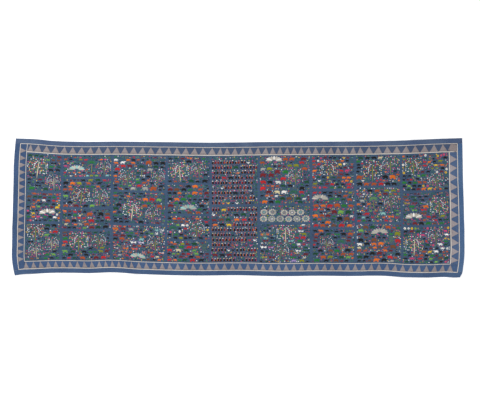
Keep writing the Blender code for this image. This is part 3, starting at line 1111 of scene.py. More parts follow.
@dataclass(frozen=True)
class Garden:
    """Plants and fish, each worked out by its own method from a few sizes."""

    rng: np.random.Generator

    def blossom(self, name: str, count: int, width_mm: float) -> Motif:
        """A round flower: petals and a knot at the middle."""
        rows = petals(count, 0.42, 0.10, 0.42, 0.15, MAIN, 0.4)
        rows.append(Stitches(-0.07, 0.42, 0.07, 0.42, 0.10, 0.10, 0.02, 0, SECOND))
        return Motif(name, width_mm, rows)

    def rosette(self, width_mm: float, flat: float) -> Motif:
        """A pale rosette: parted petals, coloured ones between them and a knot, flattened as asked."""
        middle = 0.52 * flat
        rows = petals(10, 0, 0.20, 0.47, 0.105, MAIN) + petals(6, 0, 0.05, 0.15, 0.05, SECOND, 0.3)
        rows += petals(5, 0, 0.25, 0.33, 0.045, THIRD, 0.31)
        rows = [replace(row, y0=middle + row.y0 * flat, y1=middle + row.y1 * flat) for row in rows]
        rows.append(Stitches(-0.03, middle, 0.03, middle, 0.03, 0.03, 0.01, 0, DETAIL))
        return Motif("rosette", width_mm, rows)

    def lotus(self, width_mm: float) -> Motif:
        """A low fan of parted pale petals over a row of coloured drops, open at the top."""
        rows = []
        for number, degrees in enumerate((4, 25, 47, 69, 90, 111, 133, 155, 176)):
            a = math.radians(degrees)
            x, y = math.cos(a), 0.60 * math.sin(a)
            rows.append(Stitches(
                0.12 * x, 0.07 + 0.10 * y, 0.47 * x, 0.08 + 0.47 * y, 0.014, 0.040, 0.030, 0.03 * x,
                SECOND if number % 3 == 1 else MAIN))
        for x, role in ((-0.33, THIRD), (-0.11, DETAIL), (0.11, THIRD), (0.33, DETAIL)):
            rows.append(Stitches(x - 0.05, 0.02, x + 0.05, 0.02, 0.018, 0.018, 0.014, 0, role))
        return Motif("lotus", width_mm, rows)

    def sprig(self, width_mm: float, leaves: int, height: float) -> Motif:
        """A stem with leaves in pairs and a bud at its tip."""
        rows = [Stitches(0, 0, 0.02, height * 0.9, 0.02, 0.014, 0, 0.03)]
        for number in range(leaves):
            y = height * (0.12 + 0.72 * number / leaves)
            reach = 0.36 * (1 - 0.45 * number / leaves)
            for side in (-1, 1):
                rows.append(Stitches(
                    0.01, y, side * reach, y + reach * 0.75, 0.02, 0.03, 0.045, side * 0.04))
        rows.append(Stitches(0.0, height * 0.84, 0.02, height, 0.05, 0.03, 0.03, 0, SECOND))
        return Motif("sprig", width_mm, rows)

    def grass(self, width_mm: float) -> Motif:
        """A tuft of bowed blades."""
        return Motif("grass", width_mm, [
            Stitches(0.04 * x, 0, x * 0.45, 0.75 - 0.3 * abs(x), 0.05, 0.02, 0.01, -0.12 * x)
            for x in (-1.0, -0.5, 0.0, 0.5, 1.0)])

    def fern(self, width_mm: float) -> Motif:
        """Three arching fronds with short leaflets."""
        rows = []
        for lean in (-0.35, 0.0, 0.35):
            rows.append(Stitches(0, 0, lean, 0.9 - abs(lean) * 0.5, 0.025, 0.015, 0, -0.1 * lean))
            for number in range(4):
                share = 0.3 + 0.17 * number
                x, y = lean * share, (0.9 - abs(lean) * 0.5) * share
                for side in (-1, 1):
                    rows.append(Stitches(x, y, x + side * 0.13, y + 0.07, 0.02, 0.02, 0.01, 0, SECOND))
        return Motif("fern", width_mm, rows)

    def palm(self, width_mm: float) -> Motif:
        """A slender trunk with a crown of parted, bowed fronds and fruit under it."""
        rows = [Stitches(0, 0, 0.02, 0.92, 0.040, 0.026, 0, 0.02, DETAIL)]
        for angle in (-28, 2, 30, 60, 90, 120, 150, 178, 208):
            a = math.radians(angle)
            rows.append(Stitches(
                0.02 + 0.06 * math.cos(a), 0.95 + 0.05 * math.sin(a), 0.02 + 0.48 * math.cos(a),
                0.95 + 0.38 * math.sin(a), 0.018, 0.012, 0.020, 0.10 * math.cos(a)))
        for x in (-0.07, 0.02, 0.11):
            rows.append(Stitches(x - 0.02, 0.84, x + 0.02, 0.82, 0.03, 0.03, 0.01, 0, SECOND))
        return Motif("palm", width_mm, rows)

    def tree(self, name: str, across: int, up: int, width_mm: float) -> Motif:
        """A tree: tapered trunk, paired branches, and leaves, blossom and fruit in loose rows all over.

        Args:
            name: the motif's name.
            across: leaves in each row of the crown.
            up: rows in the crown.
            width_mm: its real width.

        Returns:
            The motif.
        """
        rows = [Stitches(0, 0, 0.0, 0.98, 0.026, 0.018, 0, 0, DETAIL)]
        for number in range(6):
            side = 1 if number % 2 else -1
            y = 0.34 + 0.085 * number
            rows.append(Stitches(0, y, side * 0.34, y + 0.13, 0.009, 0.007, 0, side * 0.05, DETAIL))
        blend = [MAIN] * 6 + [SECOND] * 4 + [THIRD] * 4 + [ACCENT] * 2
        for x in (np.arange(across) + 0.5) / across - 0.5:
            for y in (np.arange(up) + 0.5) / up:
                shift = self.rng.uniform(-0.022, 0.022, 2)
                if abs(x) < 0.04 or (abs(x) > 0.36 and y > 0.86) or self.rng.random() < 0.08:
                    continue
                x0, y0, turn = x + shift[0], 0.26 + 0.84 * y + shift[1], self.rng.uniform(0, math.pi)
                reach = 0.028 * math.cos(turn), 0.028 * math.sin(turn)
                rows.append(Stitches(
                    x0 - reach[0], y0 - reach[1], x0 + reach[0], y0 + reach[1], 0.016, 0.016, 0.014, 0,
                    blend[int(self.rng.integers(len(blend)))]))
        return Motif(name, width_mm, rows)

    def bush(self, width_mm: float) -> Motif:
        """A low mound of overlapping leaf rows."""
        rows = []
        for ring, count in ((0.42, 7), (0.25, 5), (0.08, 2)):
            for a in np.linspace(0.15, math.pi - 0.15, count):
                x, y = ring * math.cos(a), 0.06 + ring * 0.95 * math.sin(a)
                rows.append(Stitches(
                    x - 0.05, y, x + 0.05, y + 0.03, 0.04, 0.04, 0.03, 0, MAIN if count % 2 else SECOND))
        return Motif("bush", width_mm, rows)

    def bamboo(self, width_mm: float) -> Motif:
        """Three jointed canes with narrow leaves."""
        rows = []
        for x in (-0.2, 0.0, 0.22):
            for y in (0, 0.36, 0.72):
                rows.append(Stitches(x, y, x + 0.01, y + 0.33, 0.024, 0.024, 0, 0, DETAIL))
            for number in range(5):
                y = 0.35 + 0.17 * number
                side = 1 if number % 2 else -1
                rows.append(Stitches(x, y, x + side * 0.17, y - 0.05, 0.012, 0.02, 0.02, side * 0.03))
        return Motif("bamboo", width_mm, rows)

    def fish(self, name: str, depth: float, width_mm: float) -> Motif:
        """A fish: body, forked tail, fin and a stripe."""
        return Motif(name, width_mm, [
            Stitches(-0.22, 0.25, 0.42, 0.25, depth * 0.3, depth * 0.35, depth * 0.75, 0.02),
            Stitches(-0.22, 0.25, -0.46, 0.38, 0.03, 0.05, 0.01, 0, SECOND),
            Stitches(-0.22, 0.25, -0.46, 0.12, 0.03, 0.05, 0.01, 0, SECOND),
            Stitches(-0.02, 0.25 + depth * 0.8, 0.16, 0.25 + depth * 1.25, 0.03, 0.02, 0.01, 0, SECOND),
            Stitches(0.24, 0.25 - depth * 0.6, 0.24, 0.25 + depth * 0.6, 0.014, 0.014, 0, 0.02, DETAIL)])

    def motifs(self) -> dict[str, Motif]:
        """Every motif by its name, each at the width it is worked at."""
        made = [animal.motif() for animal in BEASTS + BIRDS]
        made += [
            self.blossom("aster", 5, 13), self.blossom("aster_large", 7, 24), self.lotus(140),
            self.rosette(66, 0.84), self.sprig(20, 3, 1.2), self.grass(18), self.fern(26), self.palm(84),
            self.tree("orchard_tree", 13, 11, 140), self.tree("blossom_tree", 11, 10, 118),
            self.bush(32), self.bamboo(54), self.fish("carp", 0.15, 38), self.fish("perch", 0.20, 26)]
        made += [Motif(name, width, [Stitches(*row) for row in rows]) for name, width, rows in DRAWN]
        return {motif.name: motif for motif in made}


# Motifs that are listed row by row. Columns of a row: the fields of Stitches
FLIGHT = (
    (-0.26, 0.18, 0.30, 0.24, 0.03, 0.05, 0.05, -0.03),
    (0.02, 0.24, -0.20, 0.62, 0.07, 0.02, 0.02, 0.08, SECOND),
    (0.10, 0.24, 0.16, 0.64, 0.07, 0.02, 0.02, -0.06),
    (-0.26, 0.18, -0.46, 0.22, 0.03, 0.06, 0, 0, SECOND),
    (0.32, 0.25, 0.46, 0.23, 0.022, 0.008, 0, 0, THIRD),
)
GRAIN = ((-0.5, 0.2, 0.5, 0.2, 0.24, 0.24, 0.12),)
DRAWN = (
    ("owl", 26, (
        (-0.04, 0.14, -0.04, 0.90, 0.28, 0.24, 0.10, 0.03),
        (0.20, 0.30, 0.15, 0.82, 0.08, 0.11, 0.05, 0, THIRD),
        (-0.34, 0.74, -0.36, 0.22, 0.07, 0.03, 0.04, 0.05),
        (0.0, 0.98, 0.03, 1.22, 0.17, 0.16, 0.04, 0, SECOND),
        (-0.15, 1.30, 0.15, 1.31, 0.07, 0.05, 0.03, 0.03),
        (0.20, 1.12, 0.36, 1.08, 0.05, 0.02, 0.01, 0, ACCENT),
        (-0.22, 0.05, -0.06, 0.05, 0.04, 0.03, 0.01, 0, ACCENT),
        (0.04, 0.05, 0.20, 0.05, 0.04, 0.03, 0.01, 0, ACCENT))),
    ("butterfly", 22, (
        (-0.04, 0.42, -0.44, 0.72, 0.05, 0.12, 0.05),
        (-0.04, 0.36, -0.32, 0.10, 0.05, 0.09, 0.04, 0, SECOND),
        (0.04, 0.42, 0.44, 0.72, 0.05, 0.12, 0.05),
        (0.04, 0.36, 0.32, 0.10, 0.05, 0.09, 0.04, 0, SECOND),
        (0, 0.12, 0, 0.72, 0.025, 0.035, 0.01, 0, DETAIL))),
    ("turtle", 34, (
        (-0.28, 0.26, 0.24, 0.26, 0.10, 0.10, 0.10, 0.06),
        (0.26, 0.24, 0.44, 0.28, 0.04, 0.05, 0.01, 0, SECOND),
        (-0.30, 0.22, -0.42, 0.18, 0.02, 0.01, 0, 0, SECOND),
        (-0.12, 0.28, 0.12, 0.28, 0.03, 0.03, 0.02, 0.03, THIRD),
        (-0.22, 0.18, -0.18, 0.02, 0.04, 0.035, 0, 0, SECOND),
        (0.18, 0.18, 0.22, 0.02, 0.04, 0.035, 0, 0, SECOND))),
    ("flying_bird", 44, FLIGHT), ("swallow", 28, FLIGHT),
    ("bud", 10.5, GRAIN), ("blade", 11.0, GRAIN), ("leaf", 7.8, GRAIN),
)

# Columns: the fields of Beast
BEASTS = tuple(Beast(*row) for row in (
    ("elephant", 0.62, 0.207, 0.108, 0.055, (0.05, 0.06), 0.12, (0.09, -0.04), 0.10, (-0.03, -0.16), 0.014,
     0.0, 0.0, 0, 0.26, 62),
    ("buffalo", 0.62, 0.179, 0.101, 0.044, (0.06, 0.05), 0.085, (0.12, -0.05), 0.072, (-0.04, -0.16), 0.016,
     0.03, 0.12, 0, 0.0, 56),
    ("deer", 0.50, 0.134, 0.137, 0.030, (0.09, 0.16), 0.052, (0.12, -0.02), 0.054, (-0.04, 0.05), 0.024,
     0.05, 0.14, 0, 0.0, 47),
    ("dog", 0.52, 0.134, 0.108, 0.036, (0.07, 0.10), 0.062, (0.12, -0.02), 0.062, (-0.08, 0.13), 0.026,
     0.06, 0.0, 0, 0.0, 43),
    ("tiger", 0.60, 0.146, 0.101, 0.044, (0.06, 0.08), 0.075, (0.09, -0.01), 0.085, (-0.10, 0.15), 0.028,
     0.04, 0.0, 4, 0.0, 56),
    ("horse", 0.54, 0.146, 0.130, 0.036, (0.10, 0.16), 0.066, (0.13, -0.07), 0.058, (-0.06, -0.16), 0.034,
     0.04, 0.0, 0, 0.0, 50),
    ("pig", 0.56, 0.174, 0.072, 0.044, (0.06, 0.02), 0.090, (0.13, -0.03), 0.072, (-0.04, 0.07), 0.020,
     0.05, 0.0, 0, 0.0, 45),
    ("rabbit", 0.42, 0.168, 0.065, 0.045, (0.06, 0.11), 0.080, (0.08, -0.01), 0.080, (-0.03, 0.02), 0.050,
     0.15, 0.0, 0, 0.0, 34),
    ("goat", 0.50, 0.146, 0.108, 0.034, (0.08, 0.12), 0.060, (0.12, -0.05), 0.054, (-0.04, 0.07), 0.028,
     0.03, 0.12, 0, 0.0, 44),
    ("fox", 0.50, 0.123, 0.086, 0.036, (0.08, 0.07), 0.060, (0.14, -0.04), 0.062, (-0.18, 0.04), 0.060,
     0.07, 0.0, 0, 0.0, 50),
))

# Columns: the fields of Bird
BIRDS = tuple(Bird(*row) for row in (
    ("hen", 0.50, 0.17, 0.11, (0.05, 0.12), 0.070, 0.075, 0.08, (-0.12, 0.14), 2, 0.070, 0.06, 34),
    ("rooster", 0.48, 0.16, 0.14, (0.05, 0.17), 0.068, 0.072, 0.08, (-0.18, 0.22), 3, 0.055, 0.09, 38),
    ("duck", 0.56, 0.16, 0.06, (0.07, 0.13), 0.060, 0.075, 0.13, (-0.09, 0.07), 1, 0.055, 0.0, 38),
    ("peacock", 0.38, 0.13, 0.14, (0.07, 0.19), 0.045, 0.056, 0.07, (-0.44, 0.02), 4, 0.060, 0.07, 56),
    ("magpie", 0.48, 0.14, 0.11, (0.05, 0.10), 0.062, 0.072, 0.09, (-0.24, 0.02), 1, 0.050, 0.0, 34),
    ("crane", 0.42, 0.14, 0.26, (0.08, 0.24), 0.038, 0.052, 0.14, (-0.10, -0.02), 2, 0.055, 0.0, 38),
))


def flosses(names: str) -> tuple[Floss, ...]:
    """Threads by their names, in small letters with spaces between them."""
    return tuple(Floss[name.upper()] for name in names.split())


WARM = flosses("maroon red rust orange brown red rust orange")
DARK = flosses("black black black dark_green maroon")
NIGHT = flosses("black black black black navy maroon")
PALE = flosses("white cream grey lilac salmon aqua white")
LEAFY = flosses("green dark_green olive green green light_green")
BRIGHT = flosses("white pink white red orange yellow pink yellow white white light_green red yellow")
DUSKY = flosses("white pink black red orange yellow pink green white navy light_green red black")


@dataclass(frozen=True)
class Palette:
    """A kind of panel's motifs and threads, each listed as often as it should turn up."""

    middle: str
    small: str
    main: tuple[Floss, ...]
    light: tuple[Floss, ...] = PALE
    buds: tuple[Floss, ...] = BRIGHT
    row_pitch: float = 0.0265


class Mood(Enum):
    """What grows and moves in one panel, and its thread colours."""

    GROVE = Palette(
        "deer dog fox tiger peacock buffalo horse", "rabbit fern butterfly bush", WARM + LEAFY + DARK * 3,
        buds=DUSKY)
    HERD = Palette(
        "elephant buffalo horse goat pig tiger deer buffalo", "rabbit bush sprig hen",
        WARM + WARM + DARK * 3 + LEAFY + PALE[:3])
    FLOCK = Palette(
        "crane duck flying_bird tiger peacock magpie dog goat", "swallow butterfly sprig",
        PALE + WARM + DARK * 2 + LEAFY, BRIGHT)
    MEADOW = Palette(
        "goat rabbit pig horse deer fox rooster", "butterfly aster_large aster_large bush",
        BRIGHT[:6] + WARM + DARK * 3 + LEAFY)
    POND = Palette(
        "carp perch turtle duck crane carp dog", "perch fern grass bush",
        WARM + LEAFY + DARK + flosses("grey aqua teal pink"), buds=DUSKY)
    YARD = Palette(
        "owl owl owl owl owl rooster tiger", "sprig fern", WARM + DARK * 2 + BRIGHT[:6],
        flosses("salmon white salmon cream"), BRIGHT + LEAFY, 0.041)
    FRIEZE = Palette(
        "rosette", "perch sprig", DARK + LEAFY + flosses("red grey"), BRIGHT, BRIGHT + LEAFY)


@dataclass(frozen=True)
class Tier:
    """One panel of a column: its mood, its share of the column's height and its large motifs."""

    mood: Mood
    share: float = 1.0
    large: tuple[str, ...] = ()


@dataclass(frozen=True)
class Column:
    """One column of panels: its share of the field's length and its panels, from the top."""

    share: float
    tiers: tuple[Tier, ...]


ORCHARD = ("orchard_tree", "blossom_tree")
COLUMNS = (
    Column(0.85, (
        Tier(Mood.GROVE, 1.0, ORCHARD * 2), Tier(Mood.MEADOW, 0.8, ("lotus", "orchard_tree")),
        Tier(Mood.GROVE, 1.0, ORCHARD * 2))),
    Column(1.20, (
        Tier(Mood.POND, 0.75, ("lotus", "palm", "blossom_tree")), Tier(Mood.GROVE, 1.0, ORCHARD + ("palm",)),
        Tier(Mood.HERD, 0.7), Tier(Mood.GROVE, 1.0, ORCHARD + ("blossom_tree",)))),
    Column(1.30, (
        Tier(Mood.HERD, 1.0, ("blossom_tree", "palm", "blossom_tree")),
        Tier(Mood.GROVE, 0.9, ORCHARD + ORCHARD[:1]), Tier(Mood.FLOCK, 1.0, ("lotus", "blossom_tree")))),
    Column(1.05, (
        Tier(Mood.GROVE, 0.9, ORCHARD), Tier(Mood.HERD, 1.0, ("lotus",)),
        Tier(Mood.MEADOW, 0.8, ("palm", "blossom_tree")), Tier(Mood.HERD, 0.7, ("bamboo",)))),
    Column(1.15, (Tier(Mood.YARD), Tier(Mood.YARD, 1.15))),
    Column(1.25, (
        Tier(Mood.HERD, 1.25, ("lotus", "blossom_tree", "palm")), Tier(Mood.FRIEZE, 0.45),
        Tier(Mood.FLOCK, 1.0, ORCHARD))),
    Column(1.05, (
        Tier(Mood.MEADOW, 0.9, ORCHARD), Tier(Mood.HERD, 1.0, ("lotus",)),
        Tier(Mood.GROVE, 0.9, ("blossom_tree", "palm")))),
    Column(1.10, (
        Tier(Mood.HERD, 0.8, ORCHARD), Tier(Mood.FLOCK, 0.9, ("palm", "blossom_tree")),
        Tier(Mood.HERD, 1.0, ("lotus", "bamboo")))),
    Column(1.15, (
        Tier(Mood.MEADOW, 1.0, ORCHARD), Tier(Mood.GROVE, 0.9, ("lotus", "orchard_tree")),
        Tier(Mood.MEADOW, 1.0, ORCHARD))),
)


@dataclass(frozen=True)
class Placed:
    """One motif on the cut: its name, place of its foot, real width, side it faces, tilt, threads."""

    motif: str
    s: float
    t: float
    width: float
    faces: int
    tilt: float
    threads: tuple[Floss, ...]


@dataclass
class Embroidery:
    """Satin-stitch motifs laid out in panels with plain gutters between them.

    Taken places are kept on a grid of cells. The steps are distances between places that are tried:
    for middle motifs, small ones, buds and leaves. A pair is the lowest and highest of a random value.
    """

    lay: Lay
    plan: BorderPlan
    gutter: float = 0.011
    edge: float = 0.008
    step: float = 0.003
    gap_step: float = 0.007
    bud_step: float = 0.0065
    leaf_step: float = 0.0055
    step_swing: float = 0.2
    cell: float = 0.002
    sizes: tuple[float, float] = (0.92, 1.08)
    tilt: float = 0.05
    tilted_size: float = 0.02
    facing_right: float = 0.55
    large_swing: float = 0.8
    large_room: float = 0.035
    row_foot: float = 0.0005
    row_room: float = 0.018
    row_inset: float = 0.012
    row_wander: tuple[float, float] = (-0.001, 0.002)
    run: tuple[int, int] = (1, 4)
    trimmed: float = 0.4
    base: float = 0.00205
    rise: float = 0.0010
    broad: float = 0.0050
    slim: float = 0.0032
    narrowest: float = 0.0005
    dye_spread: float = 0.10
    dye_range: tuple[float, float] = (0.7, 1.3)
    tries: int = 120
    pieces: int = 5

    def __post_init__(self) -> None:
        """Make the motifs and an empty sheet of taken places."""
        self.rng = np.random.default_rng(SEED)
        self.motifs = Garden(self.rng).motifs()
        self.field = self.plan.inner.inset(self.edge)
        shape = [math.ceil(size / self.cell) + 1 for size in (self.field.height, self.field.width)]
        self.taken = np.zeros(shape, bool)
        self.placed: list[Placed] = []

    def pick(self, choices: tuple | list) -> object:
        """One of the choices, each as likely as the next."""
        return choices[int(self.rng.integers(len(choices)))]

    def threads(self, motif: str, palette: Palette) -> tuple[Floss, ...]:
        """Threads for one motif's five roles, drawn from the panel's own.

        Args:
            motif: the motif's name.
            palette: the panel's motifs and threads.

        Returns:
            One thread for each role, in the order of Role.
        """
        main, light, leaf = self.pick(palette.main), self.pick(palette.light), self.pick(LEAFY)
        bloom = self.pick(palette.buds)
        if motif in ("sprig", "palm"):
            return leaf, light, light, Floss.OLIVE, leaf
        if motif in ("grass", "fern", "bush", "bamboo"):
            return leaf, self.pick(LEAFY), light, Floss.OLIVE, leaf
        if motif in ORCHARD:
            trunk = self.pick(flosses("olive olive cream"))
            leaf = self.pick(flosses("green dark_green green"))
            return leaf, Floss.WHITE, self.pick(flosses("pink red pink")), trunk, Floss.YELLOW
        if motif in ("lotus", "rosette"):
            petal, other = self.pick(flosses("grey stone stone")), self.pick(flosses("aqua white grey"))
            return petal, other, Floss.GREEN, Floss.PINK, Floss.GREEN
        if motif == "owl":
            return self.pick(NIGHT), light, self.pick(WARM), Floss.BLACK, Floss.ORANGE
        if motif in ("blade", "leaf"):
            return (self.pick(LEAFY + NIGHT + DARK + WARM[:4]),) * 5
        if motif in ("bud", "aster", "aster_large"):
            return bloom, Floss.RED if bloom == Floss.YELLOW else Floss.YELLOW, light, main, leaf
        second = light if self.rng.random() < self.trimmed else main
        return main, second, light, Floss.BLACK, Floss.RUST

    def put(self, motif: str, s: float, t: float, palette: Palette, room: Rectangle, limit: float) -> bool:
        """Place a motif with its foot at (s, t) where it lies in the room and its place is free.

        Args:
            motif: the motif's name.
            s: place of its middle along the cut.
            t: place of its foot up the cut.
            palette: the panel's motifs and threads.
            room: the panel's rectangle.
            limit: largest share of its footprint that may be taken.

        Returns:
            Whether it was placed.
        """
        shape = self.motifs[motif]
        width = shape.width_mm * MM * self.rng.uniform(*self.sizes)
        faces = 1 if self.rng.random() < self.facing_right else -1
        upright = width > self.tilted_size
        tilt = self.rng.normal(0, self.tilt) if upright else self.rng.uniform(0, 2 * math.pi)
        x, y = shape.footprint.T * width
        along = s + faces * x * math.cos(tilt) - y * math.sin(tilt)
        above = t + faces * x * math.sin(tilt) + y * math.cos(tilt)
        if not room.holds(along, above):
            return False
        columns = ((along - self.field.left) / self.cell).astype(int)
        rows = ((above - self.field.bottom) / self.cell).astype(int)
        if self.taken[rows, columns].mean() > limit:
            return False
        self.taken[rows, columns] = True
        self.placed.append(Placed(motif, s, t, width, faces, tilt, self.threads(motif, palette)))
        return True

    def fill(self, room: Rectangle, tier: Tier) -> None:
        """Fill one panel: large motifs, then rows of middle ones, then small ones and buds in the gaps.

        Args:
            room: the panel's rectangle.
            tier: what grows and moves in it.
        """
        palette = tier.mood.value
        for number, name in enumerate(tier.large):
            for _ in range(self.tries):
                shift = self.rng.uniform(-self.large_swing, self.large_swing)
                slot = (number + 0.5 + shift) / len(tier.large)
                t = self.rng.uniform(room.bottom, room.top - self.large_room)
                if self.put(name, room.left + room.width * slot, t, palette, room, 0.0):
                    break
        middle = palette.middle.split()
        for t in np.arange(room.bottom + self.row_foot, room.top - self.row_room, palette.row_pitch):
            name, left = self.pick(middle), self.run[1] - 1
            for s in np.arange(room.left + self.row_inset, room.right - self.row_inset, self.step):
                if self.put(name, s, t + self.rng.uniform(*self.row_wander), palette, room, 0.0):
                    left -= 1
                if left == 0:
                    name, left = self.pick(middle), int(self.rng.integers(*self.run))
        # Columns: spacing, motifs, share of the places tried, and how much they may overlap
        rounds = (
            (self.gap_step, palette.small.split(), 1.0, 0.0),
            (self.bud_step, ("aster", "bud"), 0.85, 0.0),
            (self.bud_step, ("bud", "blade", "blade"), 1.0, 0.06),
            (self.leaf_step, ("leaf", "leaf", "bud"), 1.0, 0.14))
        for spacing, names, share, limit in rounds:
            across = np.arange(room.left + spacing / 2, room.right, spacing)
            for t in np.arange(room.bottom, room.top, spacing):
                for s in across[self.rng.random(len(across)) < share]:
                    shift = self.rng.uniform(-self.step_swing, self.step_swing, 2) * spacing
                    self.put(self.pick(names), s + shift[0], t + shift[1], palette, room, limit)

    def rooms(self) -> list[tuple[Rectangle, Tier]]:
        """Every panel's rectangle and what it holds, with plain gutters between columns and tiers."""
        whole = sum(column.share for column in COLUMNS)
        free = self.field.width - self.gutter * (len(COLUMNS) - 1)
        left = self.field.left
        rooms = []
        for column in COLUMNS:
            width = free * column.share / whole
            shares = sum(tier.share for tier in column.tiers)
            scale = (self.field.height - self.gutter * (len(column.tiers) - 1)) / shares
            top = self.field.top
            for tier in column.tiers:
                rooms.append((Rectangle(left, top - tier.share * scale, left + width, top), tier))
                top -= tier.share * scale + self.gutter
            left += width + self.gutter
        return rooms

    def stitched(self, placed: list[Placed]) -> MeshParts:
        """All rows of stitches of some placed motifs, as one set of arrays.

        A row's centre line is a bowed curve, its half width goes from one end's to the other's with a
        belly between, and both ends are rounded. Each row's thread is a little lighter or darker.

        Args:
            placed: the motifs.

        Returns:
            The arrays, with the colour of each row's thread.
        """
        rows, dyes = [], []
        for name in sorted({one.motif for one in placed}):
            here = [one for one in placed if one.motif == name]
            table = self.motifs[name].table
            size = np.array([(one.s, one.t, one.width, one.faces, one.tilt) for one in here])[:, None, :]
            s, t, width, faces, tilt = np.moveaxis(size, -1, 0)
            cos, sin = np.cos(tilt), np.sin(tilt)
            ends = []
            for x, y in ((table[:, 0] * faces, table[:, 1]), (table[:, 2] * faces, table[:, 3])):
                ends += [s + width * (x * cos - y * sin), t + width * (x * sin + y * cos)]
            scale = width + 0 * ends[0]
            halves = [table[:, column] * scale for column in (4, 5, 6)]
            sizes = np.stack((*ends, *halves, table[:, 7] * scale * faces), axis=-1)
            rows.append(sizes.reshape(-1, sizes.shape[-1]))
            palette = np.array([[linear(floss.value) for floss in one.threads] for one in here])
            dyes.append(palette[:, table[:, 8].astype(int)].reshape(-1, 4))
        rows, dyes = np.concatenate(rows), np.concatenate(dyes)
        dyes[:, :3] *= self.rng.normal(1, self.dye_spread, (len(dyes), 1)).clip(*self.dye_range)
        half = np.maximum(rows[:, 4], rows[:, 5]) + rows[:, 6]
        broad, slim = half > self.broad, half <= self.slim
        parts = []
        for chosen, stations, profile in ((broad, 6, DOME), (~broad & ~slim, 4, DOME), (slim, 3, SLIM)):
            if chosen.any():
                parts.append(self.bars(rows[chosen], dyes[chosen], stations, profile))
        return joined(parts)

    def bars(self, rows: np.ndarray, dyes: np.ndarray, stations: int, profile: Profile) -> MeshParts:
        """Bars for rows of stitches of one fineness.

        Args:
            rows: ends, half widths and bow of each row, in metres.
            dyes: linear colour of each row.
            stations: rings along each.
            profile: the cross-section.

        Returns:
            The arrays.
        """
        u = (1 - np.cos(np.linspace(0.0, math.pi, stations))) / 2
        start, end = rows[:, None, 0:2], rows[:, None, 2:4]
        way = end - start
        side = np.stack((-way[..., 1], way[..., 0]), axis=-1)
        side /= np.maximum(np.linalg.norm(side, axis=-1, keepdims=True), TINY)
        bell = 4 * u * (1 - u)
        centres = start + way * u[:, None] + side * (rows[:, 7, None] * bell)[..., None]
        plain = rows[:, 4, None] * (1 - u) + rows[:, 5, None] * u + rows[:, 6, None] * bell
        cap = np.sqrt(np.clip(1 - np.abs(2 * u - 1) ** 5, 0.12, 1))
        halves = np.maximum(plain, self.narrowest) * cap
        rises = np.broadcast_to(self.rise * (0.55 + 0.45 * cap), halves.shape)
        parts = carried(self.lay, centres, halves, rises, self.base, profile)
        parts.colours = np.repeat(dyes, stations * len(profile.rows), axis=0)
        return parts

    def build(self, finish: FlossFinish) -> list[bpy.types.Object]:
        """Lay out, stitch and dress the embroidery, in a few pieces side by side.

        Args:
            finish: the floss's finish.

        Returns:
            The pieces.
        """
        for room, tier in self.rooms():
            self.fill(room, tier)
        LOG.info("motifs: %d, on %.2f of the field", len(self.placed), self.taken.mean())
        material = finish.material()
        order = sorted(self.placed, key=lambda one: one.s)
        weights = np.cumsum([len(self.motifs[one.motif].rows) for one in order])
        cuts = np.searchsorted(weights, weights[-1] * np.arange(1, self.pieces) / self.pieces)
        made = []
        for number, share in enumerate(np.split(np.arange(len(order)), cuts)):
            parts = self.stitched([order[i] for i in share])
            made.append(put_piece(f"embroidery_{number + 1}", parts, material))
        return made


@dataclass
class HemStitches:
    """Running stitches in blue thread along the turned hem."""

    lay: Lay
    plan: BorderPlan
    inside: float = 0.0095
    length: float = 0.0042
    pitch: float = 0.0105
    half: float = 0.0006
    rise: float = 0.0007
    arch: tuple[float, float, float] = (0.4, 1.0, 0.4)
    base: float = 0.00275
    colour: str = "#5d7597"

    def build(self, finish: FlossFinish) -> bpy.types.Object:
        """Make and dress one joined piece with a short bar for each stitch.

        Args:
            finish: the thread's finish.

        Returns:
            The piece.
        """
        line = self.plan.cut.inset(self.inside)
        corners = np.array((
            (line.left, line.bottom), (line.right, line.bottom), (line.right, line.top),
            (line.left, line.top)))
        rows = []
        for here, there in zip(corners, np.roll(corners, -1, axis=0)):
            length = math.dist(here, there)
            starts = np.arange(self.pitch, length - self.pitch, self.pitch)
            along = starts[:, None] + self.length * np.linspace(0, 1, len(self.arch))
            rows.append(here + along[..., None] * ((there - here) / length))
        centres = np.concatenate(rows)
        halves = np.full(centres.shape[:2], self.half)
        rises = np.broadcast_to(self.rise * np.array(self.arch), halves.shape)
        parts = carried(self.lay, centres, halves, rises, self.base, SLIM)
        parts.colours = np.tile(linear(self.colour), (len(parts.points), 1))
        return put_piece("hem_stitches", parts, finish.material())


